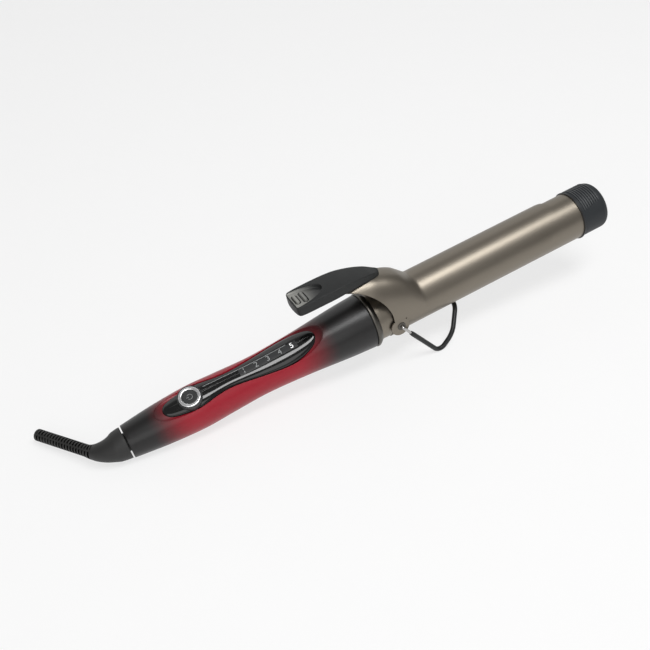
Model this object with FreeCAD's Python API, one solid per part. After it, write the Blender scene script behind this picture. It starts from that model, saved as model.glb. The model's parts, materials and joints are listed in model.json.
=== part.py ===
import FreeCAD, Part
import math
import os

# Curling iron with a spring clamp, a wire stand and a swivelling cord sleeve.
# It is built lying along X: X = 0 at the handle's rear face, the tip towards +X,
# the thumb lever on the +Z side. Then the whole iron is set down on its stand.

V = FreeCAD.Vector
ORIGIN = V(0, 0, 0)
ALONG = V(1, 0, 0)
ACROSS = V(0, 1, 0)
UP = V(0, 0, 1)
FAR = 60.0                   # reach of cutting blocks, larger than any section

# ---- driving sizes (mm, degrees) ----
barrel_radius = 16.0
barrel_wall = 1.0
barrel_reach = 163.0         # barrel in front of the handle
handle_length = 166.4
handle_wall = 2.2
controls_turn = 19.0         # the control side is turned towards the thumb

rear_radius = 10.8
grip_rise_x = 22.0
grip_rise_radius = 13.2
belly_x = 46.0
belly_radius = 14.5
waist_x = 90.0
waist_radius = 13.0
flare_x = 120.0
flare_radius = 14.6

fit = 0.05                   # sliding fit of pins, journals and plugs
air = 0.3                    # gap between curved faces of parts that move apart

# ---- barrel end of the handle ----
socket_depth = 6.4           # barrel inside the handle
front_radius = barrel_radius + 2.35
shoulder_x = handle_length - 16.4
shoulder_radius = front_radius - 1.05
handle_stations = [
    (0.0, rear_radius),
    (grip_rise_x, grip_rise_radius),
    (belly_x, belly_radius),
    (waist_x, waist_radius),
    (flare_x, flare_radius),
    (shoulder_x, shoulder_radius),
    (handle_length, front_radius),
]
barrel_start = handle_length - socket_depth
barrel_end = handle_length + barrel_reach
collar_gap = 0.8
collar_width = 4.3

# ---- control panel ----
recess_start = 20.5
recess_end = 136.5
recess_depth = 1.3
scoop = 6.5                  # length of the sloped red ends of the recess
rim = 0.9                    # width of the recess floor beside the panel
panel_drop = 0.5             # panel face below the handle's skin
panel_wall = 2.1
panel_lip = 0.8
lip_thickness = 1.2
button_x = 44.5
button_radius = 7.05
cap_radius = 4.8
bezel_radius = 7.95
button_clearance = 0.1
button_travel = 0.7
button_top = belly_radius + 0.9
bezel_top = belly_radius + 0.4
shelf_height = 10.0
stem_radius = 1.5
first_mark_x = 81.5
mark_pitch = 8.3
mark_count = 5
lens_half_width = 2.3
lens_end_margin = 3.5

# ---- board ----
board_start = 30.0
board_end = 124.0
board_half_width = 6.5
board_thickness = 1.6
board_height = 1.0
board_boss_xs = (36.0, 73.0, 119.5)
boss_radius = 2.4
screw_radius = 1.25
screw_head_radius = 2.4
shell_screw_xs = (19.0, handle_length - 20.4)
post_radius = 3.5

# ---- swivel ----
rear_wall = 2.5
journal_radius = 6.0
swivel_gap = 0.9
drum_radius = 5.0
drum_end = 13.0
contact_ring_radius = 5.6
contact_ring_xs = (5.6, 9.4)
contact_ring_width = 1.4
boot_radius = 10.3
boot_straight = 6.0
boot_bend_radius = 20.0
boot_turn = 56.0
sleeve_length = 42.0
sleeve_radius = 3.85
cord_bore_radius = 2.9

# ---- heater ----
core_start = handle_length + 33.0
core_end = barrel_end - 17.0
core_half_gap = 1.6
heater_length = 60.0
heater_half_width = 8.0
sensor_height = 8.0
sensor_radius = 1.2
lead_radius = 0.8

# ---- tip ----
flange_thickness = 0.9
flange_radius = barrel_radius + 0.9
tip_radius = barrel_radius + 0.1
tip_length = 21.0
tip_edge = 5.0
tip_wall = 1.8
tip_plug = 11.0
rib_count = 8
rib_pitch = 1.75
rib_width = 0.95
rib_height = 0.35
rib_half_angle = 50.0

# ---- hinge ----
hinge_x = handle_length + 17.9
hinge_z = -2.5
sheet = 0.85
plate_gap = air
plate_inner = barrel_radius + plate_gap
plate_outer = plate_inner + sheet
ear_inner = barrel_radius + 1.0
ear_outer = ear_inner + sheet
ear_radius = 6.4
ear_setback = 0.8
rivet_radius = 1.9
rivet_head_radius = 2.9
rivet_head = 0.45
wire_radius = 0.95
bracket_sheet = 0.6

# ---- clamp ----
plate_end = barrel_end - 16.3
plate_tongue = 21.0
plate_edge_z = 2.3
neck_end = hinge_x + 24.7      # the arched neck ends and the round plate starts
tongue_start = hinge_x - 27.3
tongue_top = 35.3
lever_rear = hinge_x - 62.3
lever_tip = hinge_x - 0.6
lever_top = 42.2
lever_half_width = 9.9
lever_tip_z = 33.6
lever_screw_xs = (hinge_x - 21.5, hinge_x - 13.5)
spring_half_width = 3.0
spring_thickness = 0.6

# ---- stand ----
stand_leg_y = barrel_radius + 4.0
stand_sleeve_radius = 1.6
stand_sleeve_start = 8.2
stand_foot_run = 22.1        # hinge to foot, along the barrel
stand_foot_drop = 34.4       # hinge to foot, away from the barrel
stand_arch_reach = 30.6
stand_corner_radius = 5.0


# ---- helpers ----
def line(a, b):
    return Part.LineSegment(a, b).toShape()


def spline(points, closed=False):
    curve = Part.BSplineCurve()
    curve.interpolate(points, PeriodicFlag=closed)
    return curve.toShape()


def box(x0, x1, y0, y1, z0, z1):
    return Part.makeBox(x1 - x0, y1 - y0, z1 - z0, V(x0, y0, z0))


def rod(start, direction, length, radius):
    return Part.makeCylinder(radius, length, start, direction)


def bar_x(radius, x0, x1):
    return rod(V(x0, 0, 0), ALONG, x1 - x0, radius)


def tube_x(inner, outer, x0, x1):
    return bar_x(outer, x0, x1).cut(bar_x(inner, x0, x1))


def pin_z(x, y, z0, z1, radius):
    return rod(V(x, y, z0), UP, z1 - z0, radius)


def merged(shapes):
    whole = shapes[0]
    for other in shapes[1:]:
        whole = whole.fuse(other)
    return whole.removeSplitter()


def group(shapes):
    return Part.makeCompound(shapes)


def rounded_path(points, radii):
    """Straight runs through the points, joined by tangent arcs of the given radii."""
    edges = []
    start = points[0]
    for before, corner, after, radius in zip(points, points[1:], points[2:], radii):
        to_before = (before - corner).normalize()
        to_after = (after - corner).normalize()
        half_angle = to_before.getAngle(to_after) / 2
        tangent = radius / math.tan(half_angle)
        entry = corner + to_before * tangent
        leave = corner + to_after * tangent
        inward = (to_before + to_after).normalize()
        centre = corner + inward * (radius / math.sin(half_angle))
        middle = centre - inward * radius
        edges.append(line(start, entry))
        edges.append(Part.Arc(entry, middle, leave).toShape())
        start = leave
    edges.append(line(start, points[-1]))
    return Part.Wire(edges)


def pipe(path, radius):
    """Round wire or hose that follows a path."""
    start = path.Edges[0]
    direction = start.tangentAt(start.FirstParameter)
    circle = Part.Wire(Part.makeCircle(radius, start.Vertexes[0].Point, direction))
    return path.makePipeShell([circle], True, True)


# ---- handle ----
def handle_form(inset):
    """Body of revolution that lies a given depth below the handle's skin."""
    skin = [V(x, 0, radius - inset) for x, radius in handle_stations]
    rear = V(0, 0, 0)
    front = V(handle_length, 0, 0)
    outline = Part.Wire([
        spline(skin),
        line(skin[-1], front),
        line(front, rear),
        line(rear, skin[0]),
    ])
    return Part.Face(outline).revolve(ORIGIN, ALONG, 360)


def handle_layer(inset, thickness):
    return handle_form(inset).cut(handle_form(inset + thickness))


def recess_prism(end_inset, side_inset):
    """Upright prism on the waisted outline of the control recess."""
    start = recess_start + end_inset
    end = recess_end - end_inset
    side = [
        (start + 5.5, 6.3),
        (belly_x, 8.7),
        (recess_start + 50.0, 6.2),
        (recess_end - 25.5, 10.1),
        (end - 6.0, 7.2),
    ]
    near = [V(x, side_inset - y, 0) for x, y in side]
    far = [V(x, y - side_inset, 0) for x, y in reversed(side)]
    outline = spline([V(start, 0, 0)] + near + [V(end, 0, 0)] + far, closed=True)
    return Part.Face(Part.Wire(outline)).extrude(UP * FAR)


def handle_cavity():
    cavity = handle_form(handle_wall).common(bar_x(FAR, rear_wall, barrel_start))
    socket = bar_x(barrel_radius + fit, barrel_start, handle_length)
    return merged([cavity, socket])


def handle_half(side):
    """One bare half of the handle; side is 1 above the parting plane and -1 below."""
    shell = handle_form(0).cut(handle_cavity())
    shell = shell.cut(bar_x(journal_radius + fit, 0, rear_wall))
    low, high = sorted((0, side * FAR))
    return shell.common(box(0, handle_length, -FAR, FAR, low, high))


def handle_upper_shell():
    shell = handle_half(1)
    for x in shell_screw_xs:
        boss = pin_z(x, 0, 0, FAR, boss_radius).common(handle_form(handle_wall / 2))
        shell = shell.fuse(boss).cut(pin_z(x, 0, 0, 5, screw_radius))
    recess = recess_prism(0, 0).cut(handle_form(recess_depth))
    shell = shell.cut(recess).cut(recess_prism(scoop, rim))
    return shell.cut(pin_z(button_x, 0, 0, FAR, bezel_radius))


def handle_lower_shell():
    shell = handle_half(-1)
    inside = handle_form(handle_wall / 2)
    for x in shell_screw_xs:
        post = pin_z(x, 0, -FAR, 0, post_radius).common(inside)
        shell = shell.fuse(post)
        shell = shell.cut(pin_z(x, 0, -FAR, -7, screw_head_radius + 0.2))
        shell = shell.cut(pin_z(x, 0, -7, 0, screw_radius + 0.1))
    for x in board_boss_xs:
        boss = pin_z(x, 0, -FAR, board_height, boss_radius).common(inside)
        shell = shell.fuse(boss).cut(pin_z(x, 0, -5, board_height, screw_radius))
    return shell


def handle_screws():
    screws = []
    for x in shell_screw_xs:
        head = pin_z(x, 0, -8.8, -7, screw_head_radius)
        screws.append(head.fuse(pin_z(x, 0, -7, 5, screw_radius)))
    return group(screws)


# ---- controls ----
def lens_box(clearance):
    x0 = first_mark_x - lens_end_margin - clearance
    x1 = first_mark_x + mark_pitch * (mark_count - 1) + lens_end_margin + clearance
    half = lens_half_width + clearance
    return box(x0, x1, -half, half, 0, FAR)


def control_panel():
    plug = handle_layer(panel_drop, panel_wall).common(recess_prism(scoop, rim + fit))
    lip = handle_layer(handle_wall, lip_thickness)
    lip = lip.common(recess_prism(scoop - panel_lip, rim - panel_lip))
    panel = merged([plug, lip])
    panel = panel.cut(pin_z(button_x, 0, 0, FAR, bezel_radius))
    return panel.cut(lens_box(fit))


def indicator_lens():
    return handle_layer(panel_drop, panel_wall).common(lens_box(0))


def button_bezel():
    opening = button_radius + button_clearance
    wall = pin_z(button_x, 0, shelf_height, bezel_top, bezel_radius)
    wall = wall.cut(pin_z(button_x, 0, shelf_height + 0.7, bezel_top, opening))
    return wall.cut(pin_z(button_x, 0, 0, FAR, stem_radius + button_clearance))


def button_ring():
    ring = pin_z(button_x, 0, button_top - 2.4, button_top, button_radius)
    ring = ring.cut(pin_z(button_x, 0, 0, FAR, cap_radius))
    rims = [edge for edge in ring.Edges if abs(edge.BoundBox.ZMin - button_top) < 0.01]
    return ring.makeFillet(0.6, rims)


def power_button():
    cap = pin_z(button_x, 0, button_top - 2.4, button_top - 0.4, cap_radius)
    stem_end = board_height + board_thickness + 3.5 + button_travel + button_clearance
    stem = pin_z(button_x, 0, stem_end, button_top - 2.4, stem_radius)
    return cap.fuse(stem)


def button_spring():
    base = shelf_height + 0.7
    top = button_top - 2.4
    wire = 0.25
    coil_radius = 3.0
    turns = 2.5
    rise = top - base - 2 * wire
    helix = Part.makeHelix(rise / turns, rise, coil_radius)
    helix.translate(V(button_x, 0, base + wire))
    start = helix.Edges[0].Vertexes[0].Point
    circle = Part.Wire(Part.makeCircle(wire, start, ACROSS))
    return Part.Wire(helix.Edges).makePipeShell([circle], True, True)


def board_slab():
    top = board_height + board_thickness
    return box(board_start, board_end, -board_half_width, board_half_width, board_height, top)


def control_board():
    board = board_slab()
    for x in board_boss_xs:
        board = board.cut(pin_z(x, 0, 0, 5, screw_radius + 0.1))
    return board


def board_screws():
    top = board_height + board_thickness
    screws = []
    for x in board_boss_xs:
        shank = pin_z(x, 0, top - 5, top, screw_radius)
        screws.append(shank.fuse(pin_z(x, 0, top, top + 1.2, screw_head_radius)))
    return group(screws)


def tact_switch():
    top = board_height + board_thickness
    body = box(button_x - 3, button_x + 3, -3, 3, top, top + 2.8)
    return body.fuse(pin_z(button_x, 0, top + 2.8, top + 3.5, 1.6))


def status_leds():
    top = board_height + board_thickness
    leds = []
    for index in range(mark_count):
        x = first_mark_x + index * mark_pitch
        leds.append(box(x - 1, x + 1, -0.6, 0.6, top, top + 0.9))
    return group(leds)


# ---- swivel ----
def swivel_core():
    core = merged([
        bar_x(journal_radius, -swivel_gap - 7, rear_wall + 0.2),
        bar_x(journal_radius + 2, rear_wall + 0.2, rear_wall + 1.8),
        bar_x(drum_radius, rear_wall + 1.8, drum_end),
    ])
    return core.cut(bar_x(cord_bore_radius, -swivel_gap - 7, drum_end - 3))


def contact_rings():
    return group([
        tube_x(drum_radius, contact_ring_radius, x, x + contact_ring_width)
        for x in contact_ring_xs
    ])


def brush_block():
    block = box(contact_ring_xs[0] - 0.6, drum_end, -4, 4, -FAR, -7.4)
    return block.common(handle_form(handle_wall))


def contact_brushes():
    brushes = []
    for x in contact_ring_xs:
        middle = x + contact_ring_width / 2
        top = -contact_ring_radius - air
        brushes.append(box(middle - 0.5, middle + 0.5, -1.5, 1.5, -7.4, top))
    return group(brushes)


def power_leads():
    """Two short leads from the brushes, round the screw post, to the board."""
    leads = []
    for side in (-1, 1):
        path = rounded_path([
            V(drum_end, side * 3, -8.3),
            V(drum_end + 4, side * 5.6, -6.5),
            V(board_start - 5, side * 5.6, 0.5),
            V(board_start, side * 5.2, board_height + board_thickness / 2),
        ], [2.5, 2.5])
        leads.append(pipe(path, lead_radius * 0.9).cut(board_slab()).cut(brush_block()))
    return group(leads)


def boot_path():
    """Centre line of the boot and sleeve: straight, one bend, straight."""
    turn = math.radians(boot_turn)
    tangent = boot_bend_radius * math.tan(turn / 2)
    corner = V(-swivel_gap - boot_straight - tangent, 0, 0)
    away = V(-math.cos(turn), math.sin(turn), 0)
    end = corner + away * (tangent + sleeve_length)
    return rounded_path([V(-swivel_gap, 0, 0), corner, end], [boot_bend_radius])


def swivel_boot():
    """Smooth boot that narrows round the bend, then the sleeve that holds the cord."""
    path = boot_path()
    arc = path.Edges[1]
    first = arc.FirstParameter
    last = arc.LastParameter
    sections = [Part.Wire(Part.makeCircle(boot_radius, V(-swivel_gap, 0, 0), ALONG))]
    steps = 5
    narrowing = boot_radius - sleeve_radius
    for step in range(steps + 1):
        share = step / steps
        place = first + (last - first) * share
        radius = boot_radius - narrowing * (0.12 + 0.88 * share ** 0.85)
        centre = arc.valueAt(place)
        sections.append(Part.Wire(Part.makeCircle(radius, centre, arc.tangentAt(place))))
    boot = Part.makeLoft(sections, True)
    run = path.Edges[2]
    start = run.valueAt(run.FirstParameter)
    end = run.valueAt(run.LastParameter)
    sleeve = rod(start, end - start, run.Length, sleeve_radius)
    boot = merged([boot, sleeve]).cut(pipe(path, cord_bore_radius))
    return boot.cut(bar_x(journal_radius, -swivel_gap - 7, 0))


# ---- barrel and heater ----
def collar_ring():
    back = handle_length + collar_gap
    front = back + collar_width
    inner = barrel_radius
    outer = front_radius + 0.5
    outline = Part.Wire([
        line(V(back, 0, inner), V(back, 0, outer - 0.5)),
        Part.Arc(V(back, 0, outer - 0.5), V(back + 1, 0, outer), V(back + 2, 0, outer - 0.4)).toShape(),
        line(V(back + 2, 0, outer - 0.4), V(front, 0, inner + 0.9)),
        line(V(front, 0, inner + 0.9), V(front, 0, inner)),
        line(V(front, 0, inner), V(back, 0, inner)),
    ])
    ring = Part.Face(outline).revolve(ORIGIN, ALONG, 360)
    spacer = tube_x(inner, front_radius - 0.9, handle_length, back)
    return ring.fuse(spacer)


def barrel_holder():
    plug_radius = barrel_radius - barrel_wall - fit
    flange = bar_x(barrel_radius - 0.65, barrel_start - 3, barrel_start)
    plug = bar_x(plug_radius, barrel_start, barrel_start + 22)
    return merged([flange, plug]).cut(bar_x(8, barrel_start - 3, barrel_start + 22))


def barrel_tube():
    return tube_x(barrel_radius - barrel_wall, barrel_radius, barrel_start, barrel_end)


def heater_core(side):
    """Half-round aluminium core that carries heat from the plate to the barrel."""
    core = bar_x(barrel_radius - barrel_wall - fit, core_start, core_end)
    low, high = sorted((side * core_half_gap, side * FAR))
    return core.common(box(core_start, core_end, -FAR, FAR, low, high))


def heater_core_upper():
    bore = rod(V(core_start, 0, sensor_height), ALONG, 24, sensor_radius + fit)
    return heater_core(1).cut(bore)


def heater_core_lower():
    return heater_core(-1)


def ceramic_heater():
    x0 = core_start + 4
    x1 = x0 + heater_length
    return box(x0, x1, -heater_half_width, heater_half_width, -core_half_gap, core_half_gap)


def temperature_sensor():
    return rod(V(core_start + 14, 0, sensor_height), ALONG, 6, sensor_radius)


def heater_leads():
    """Two heater leads and the sensor's lead, through the holder to the board."""
    leads = []
    height = board_height + board_thickness / 2
    for side in (-1, 1):
        path = rounded_path([
            V(core_start + 4, side * 4, 0),
            V(barrel_start - 12, side * 4.6, 0),
            V(board_end, side * 4.6, height),
        ], [40.0])
        leads.append(pipe(path, lead_radius).cut(board_slab()))
    path = rounded_path([
        V(core_start + 14, 0, sensor_height),
        V(core_start - 3, 0, sensor_height),
        V(barrel_start + 24, 0, 6),
        V(barrel_start - 9, 4.0, 5),
        V(board_end, 1.5, height),
    ], [12.0, 12.0, 8.0])
    leads.append(pipe(path, lead_radius * 0.7).cut(board_slab()))
    return group(leads)


# ---- tip ----
def tip_insulator():
    start = core_end
    end = barrel_end - tip_plug
    return tube_x(3, barrel_radius - barrel_wall - fit, start, end)


def tip_flange():
    return tube_x(barrel_radius - barrel_wall, flange_radius, barrel_end, barrel_end + flange_thickness)


def cool_tip():
    start = barrel_end + flange_thickness
    end = start + tip_length
    cap = bar_x(tip_radius, start, end)
    rims = [edge for edge in cap.Edges if abs(edge.BoundBox.XMin - end) < 0.01]
    cap = cap.makeFillet(tip_edge, rims)
    plug = bar_x(barrel_radius - barrel_wall - fit, barrel_end - tip_plug, start)
    hollow = bar_x(tip_radius - 3 * tip_wall, barrel_end - tip_plug, end - 2 * tip_wall)
    cap = merged([cap, plug]).cut(hollow)
    slope = math.radians(rib_half_angle)
    corner = V(start, 0, 0)
    left = V(start, -FAR * math.sin(slope), FAR * math.cos(slope))
    right = V(start, FAR * math.sin(slope), FAR * math.cos(slope))
    top = V(start, 0, 2 * FAR)
    wedge = Part.Face(Part.makePolygon([corner, left, top, right, corner])).extrude(ALONG * tip_length)
    for index in range(rib_count):
        x = start + 2.2 + index * rib_pitch
        rib = tube_x(tip_radius - 0.4, tip_radius + rib_height, x, x + rib_width)
        cap = cap.fuse(rib.common(wedge))
    return cap


# ---- hinge ----
def hinge_bracket():
    """Band under the barrel with a round seat on each side for the hinge rivets."""
    band = tube_x(barrel_radius, barrel_radius + bracket_sheet, hinge_x - 5.5, hinge_x + 5.5)
    band = band.common(box(0, 2 * barrel_end, -FAR, FAR, -FAR, hinge_z + 3))
    for side in (-1, 1):
        seat = rod(V(hinge_x, side * (ear_inner - 0.1), hinge_z), ACROSS * -side, 2, 3.2)
        band = band.fuse(seat)
    band = band.cut(bar_x(barrel_radius, 0, 2 * barrel_end))
    return band.cut(rod(V(hinge_x, -FAR, hinge_z), ACROSS, 2 * FAR, rivet_radius))


def hinge_rivets():
    rivets = []
    for side in (-1, 1):
        inner_end = barrel_radius + fit
        length = ear_outer + fit - inner_end
        shank = rod(V(hinge_x, side * inner_end, hinge_z), ACROSS * side, length, rivet_radius)
        seat = V(hinge_x, side * (ear_outer + fit), hinge_z)
        head = rod(seat, ACROSS * side, rivet_head, rivet_head_radius)
        bore = rod(V(hinge_x, 0, hinge_z), ACROSS * side, FAR, wire_radius + fit)
        rivets.append(merged([shank, head]).cut(bore))
    return group(rivets)


# ---- clamp ----
def clamp_stations():
    """Place, half width, top height and squareness of the clamp along the iron."""
    return [
        (tongue_start, ear_outer, tongue_top, 3.0),
        (hinge_x - 10, ear_outer, tongue_top, 3.0),
        (hinge_x - 4, ear_outer, tongue_top - 0.8, 3.0),
        (hinge_x + 2, ear_outer, tongue_top - 2.8, 2.9),
        (hinge_x + 7, ear_outer, plate_outer + 12.3, 2.7),
        (hinge_x + 11, ear_outer - 0.1, plate_outer + 8.2, 2.5),
        (hinge_x + 15, ear_outer - 0.3, plate_outer + 4.0, 2.3),
        (hinge_x + 19, plate_outer + 0.2, plate_outer + 1.3, 2.1),
        (neck_end, plate_outer, plate_outer, 2.0),
        (plate_end, plate_outer, plate_outer, 2.0),
    ]


def clamp_section(x, half_width, top, squareness, inset):
    """Arch over the barrel with straight sides that reach down to the ears."""
    half_width = half_width - inset
    top = top - inset
    power = 2.0 / squareness
    steps = 12
    arch = []
    for step in range(steps + 1):
        angle = math.pi * step / steps
        y = math.copysign(half_width * abs(math.cos(angle)) ** power, math.cos(angle))
        z = top * max(math.sin(angle), 0.0) ** power
        arch.append(V(x, y, z))
    arch[0] = V(x, half_width, 0)
    arch[-1] = V(x, -half_width, 0)
    below = hinge_z - ear_radius - 2
    return Part.Wire([
        spline(arch),
        line(arch[-1], V(x, -half_width, below)),
        line(V(x, -half_width, below), V(x, half_width, below)),
        line(V(x, half_width, below), arch[0]),
    ])


def clamp_form(inset):
    sections = [clamp_section(*station, inset) for station in clamp_stations()]
    return Part.makeLoft(sections, True, True)


def clamp_side_view():
    """Side view of the clamp: swept rear edge, round ears, straight lower edge."""
    rear_low = V(hinge_x - 3.9, 0, hinge_z + 11)
    rear_middle = V(hinge_x - 12.3, 0, tongue_top - 9.8)
    rear_high = V(tongue_start, 0, tongue_top - 1.8)
    outline = Part.Wire([
        Part.Arc(rear_low, rear_middle, rear_high).toShape(),
        line(rear_high, V(tongue_start, 0, FAR)),
        line(V(tongue_start, 0, FAR), V(plate_end, 0, FAR)),
        line(V(plate_end, 0, FAR), V(plate_end, 0, plate_edge_z)),
        line(V(plate_end, 0, plate_edge_z), V(rear_low.x, 0, plate_edge_z)),
        line(V(rear_low.x, 0, plate_edge_z), rear_low),
    ])
    area = Part.Face(outline).extrude(ACROSS * (2 * FAR))
    ear = rod(V(hinge_x - ear_setback, 0, hinge_z), ACROSS, 2 * FAR, ear_radius)
    side_view = area.fuse(ear)
    side_view.translate(V(0, -FAR, 0))
    return side_view


def clamp_plan_view():
    """Plan view of the clamp: straight sides and a rounded tongue at the front."""
    round_x = plate_end - plate_tongue
    half = plate_outer + 2
    near = V(round_x, -half, 0)
    far = V(round_x, half, 0)
    outline = Part.Wire([
        Part.Arc(near, V(plate_end, 0, 0), far).toShape(),
        line(far, V(tongue_start, half, 0)),
        line(V(tongue_start, half, 0), V(tongue_start, -half, 0)),
        line(V(tongue_start, -half, 0), near),
    ])
    area = Part.Face(outline).extrude(UP * (2 * FAR))
    area.translate(V(0, 0, -FAR))
    return area


def clamp_plate():
    clamp = clamp_form(0).cut(clamp_form(sheet))
    clamp = clamp.common(clamp_side_view()).common(clamp_plan_view())
    clamp = clamp.cut(rod(V(hinge_x, -FAR, hinge_z), ACROSS, 2 * FAR, rivet_radius + fit))
    for x in lever_screw_xs:
        clamp = clamp.cut(pin_z(x, 0, 20, FAR, screw_radius + 0.1))
    return clamp


def thumb_lever():
    side = Part.Wire([
        line(V(lever_rear, 0, tongue_top), V(lever_rear, 0, lever_top - 1)),
        spline([
            V(lever_rear, 0, lever_top - 1),
            V(lever_rear + 6, 0, lever_top),
            V(lever_rear + 30, 0, lever_top),
            V(lever_tip - 12, 0, lever_top - 3.6),
            V(lever_tip, 0, lever_tip_z),
        ]),
        line(V(lever_tip, 0, lever_tip_z), V(lever_tip, 0, 20)),
        line(V(lever_tip, 0, 20), V(tongue_start, 0, 20)),
        line(V(tongue_start, 0, 20), V(tongue_start, 0, tongue_top)),
        line(V(tongue_start, 0, tongue_top), V(lever_rear, 0, tongue_top)),
    ])
    block = Part.Face(side).extrude(ACROSS * (2 * FAR))
    block.translate(V(0, -FAR, 0))
    edge = [
        V(lever_tip, 0, 0),
        V(lever_tip - 5.5, 3.9, 0),
        V(lever_tip - 13, 6.6, 0),
        V(lever_tip - 24, 8.9, 0),
        V(lever_rear + 24, lever_half_width, 0),
        V(lever_rear + 8, lever_half_width - 0.2, 0),
        V(lever_rear + 1.6, lever_half_width - 3, 0),
        V(lever_rear, lever_half_width - 7, 0),
    ]
    mirror = [V(point.x, -point.y, 0) for point in reversed(edge[1:])]
    plan = Part.Face(Part.Wire(spline(edge + mirror, closed=True)))
    lever = block.common(plan.extrude(UP * FAR)).cut(clamp_form(0))
    lever = lever.common(box(0, lever_tip, -FAR, FAR, tongue_top - 4.5, FAR))
    for x in lever_screw_xs:
        lever = lever.cut(pin_z(x, 0, 0, tongue_top + 3.2, screw_radius))
    return lever


def clamp_spring():
    """Leaf spring from under the tongue, folded back onto the top of the barrel."""
    high = tongue_top - sheet - spring_thickness / 2 - fit
    low = barrel_radius + spring_thickness / 2 + air
    path = rounded_path([
        V(tongue_start + 3, 0, high),
        V(hinge_x - 9, 0, high),
        V(hinge_x + 1.5, 0, high - 6.5),
        V(hinge_x - 4.5, 0, low),
        V(hinge_x - 9.5, 0, low + 2.5),
    ], [6.0, 3.5, 2.0])
    x = tongue_start + 3
    half = spring_thickness / 2
    strip = Part.makePolygon([
        V(x, -spring_half_width, high - half),
        V(x, spring_half_width, high - half),
        V(x, spring_half_width, high + half),
        V(x, -spring_half_width, high + half),
        V(x, -spring_half_width, high - half),
    ])
    leaf = path.makePipeShell([strip], True, False)
    for x in lever_screw_xs:
        leaf = leaf.cut(pin_z(x, 0, high - 2, high + 2, screw_radius + 0.1))
    return leaf


def lever_screws():
    under_spring = tongue_top - sheet - spring_thickness - fit
    screws = []
    for x in lever_screw_xs:
        shank = pin_z(x, 0, under_spring, tongue_top + 3.2, screw_radius)
        screws.append(shank.fuse(pin_z(x, 0, under_spring - 1.2, under_spring, screw_head_radius)))
    return group(screws)


# ---- stand ----
def stand_path(start_y):
    """Wire from one rivet, down a leg, round the arch and back up the other leg."""
    foot_x = hinge_x + stand_foot_run
    foot_z = hinge_z - stand_foot_drop
    apex_z = -(barrel_radius + air + stand_sleeve_radius)
    lift = math.asin((apex_z - foot_z) / stand_arch_reach)
    half = [
        V(hinge_x, start_y, hinge_z),
        V(hinge_x, stand_leg_y, hinge_z),
        V(foot_x, stand_leg_y, foot_z),
    ]
    for reach, y in ((15.0, stand_leg_y - 0.3), (stand_arch_reach, 6.5)):
        half.append(V(foot_x + reach * math.cos(lift), y, foot_z + reach * math.sin(lift)))
    radii = [1.4, stand_corner_radius, 16.0, 11.0]
    mirror = [V(point.x, -point.y, point.z) for point in reversed(half)]
    return half + mirror, radii + radii[::-1]


def stand_wire():
    points, radii = stand_path(barrel_radius + 2 * fit)
    return pipe(rounded_path(points, radii), wire_radius)


def stand_sleeve():
    points, radii = stand_path(0)
    leg = (points[2] - points[1]).normalize()
    start = points[1] + leg * stand_sleeve_start
    end = V(start.x, -start.y, start.z)
    path = rounded_path([start] + points[2:-2] + [end], radii[1:-1])
    return pipe(path, stand_sleeve_radius).cut(pipe(path, wire_radius))


# ---- assembly ----
control_side = {
    "handle_upper_shell": handle_upper_shell,
    "handle_lower_shell": handle_lower_shell,
    "handle_screws": handle_screws,
    "control_panel": control_panel,
    "indicator_lens": indicator_lens,
    "button_bezel": button_bezel,
    "button_ring": button_ring,
    "power_button": power_button,
    "button_spring": button_spring,
    "control_board": control_board,
    "board_screws": board_screws,
    "tact_switch": tact_switch,
    "status_leds": status_leds,
    "brush_block": brush_block,
    "contact_brushes": contact_brushes,
    "power_leads": power_leads,
    "heater_core_upper": heater_core_upper,
    "heater_core_lower": heater_core_lower,
    "ceramic_heater": ceramic_heater,
    "temperature_sensor": temperature_sensor,
    "heater_leads": heater_leads,
}
clamp_side = {
    "swivel_core": swivel_core,
    "contact_rings": contact_rings,
    "swivel_boot": swivel_boot,
    "collar_ring": collar_ring,
    "barrel_holder": barrel_holder,
    "barrel_tube": barrel_tube,
    "tip_insulator": tip_insulator,
    "tip_flange": tip_flange,
    "cool_tip": cool_tip,
    "hinge_bracket": hinge_bracket,
    "hinge_rivets": hinge_rivets,
    "clamp_plate": clamp_plate,
    "thumb_lever": thumb_lever,
    "clamp_spring": clamp_spring,
    "lever_screws": lever_screws,
    "stand_wire": stand_wire,
    "stand_sleeve": stand_sleeve,
}


def rest_tilt():
    """Angle of the iron when the stand's feet and the handle's rear rim touch the table."""
    foot_x = hinge_x + stand_foot_run
    foot_z = hinge_z - stand_foot_drop
    rim_point = V(0, 0, -rear_radius)
    apex_z = -(barrel_radius + air + stand_sleeve_radius)
    lift = math.asin((apex_z - foot_z) / stand_arch_reach)
    leg = V(-stand_foot_run, 0, stand_foot_drop).normalize()
    arch = V(math.cos(lift), 0, math.sin(lift))
    half_angle = leg.getAngle(arch) / 2
    inward = (leg + arch).normalize()
    centre = V(foot_x, 0, foot_z) + inward * (stand_corner_radius / math.sin(half_angle))
    reach = stand_corner_radius + stand_sleeve_radius
    span = centre - rim_point
    return math.degrees(math.atan2(-span.z, span.x) + math.asin(reach / span.Length))


def build():
    shapes = {}
    for name, maker in control_side.items():
        shape = maker()
        shape.rotate(ORIGIN, ALONG, controls_turn)
        shapes[name] = shape
    for name, maker in clamp_side.items():
        shapes[name] = maker()
    return shapes


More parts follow.
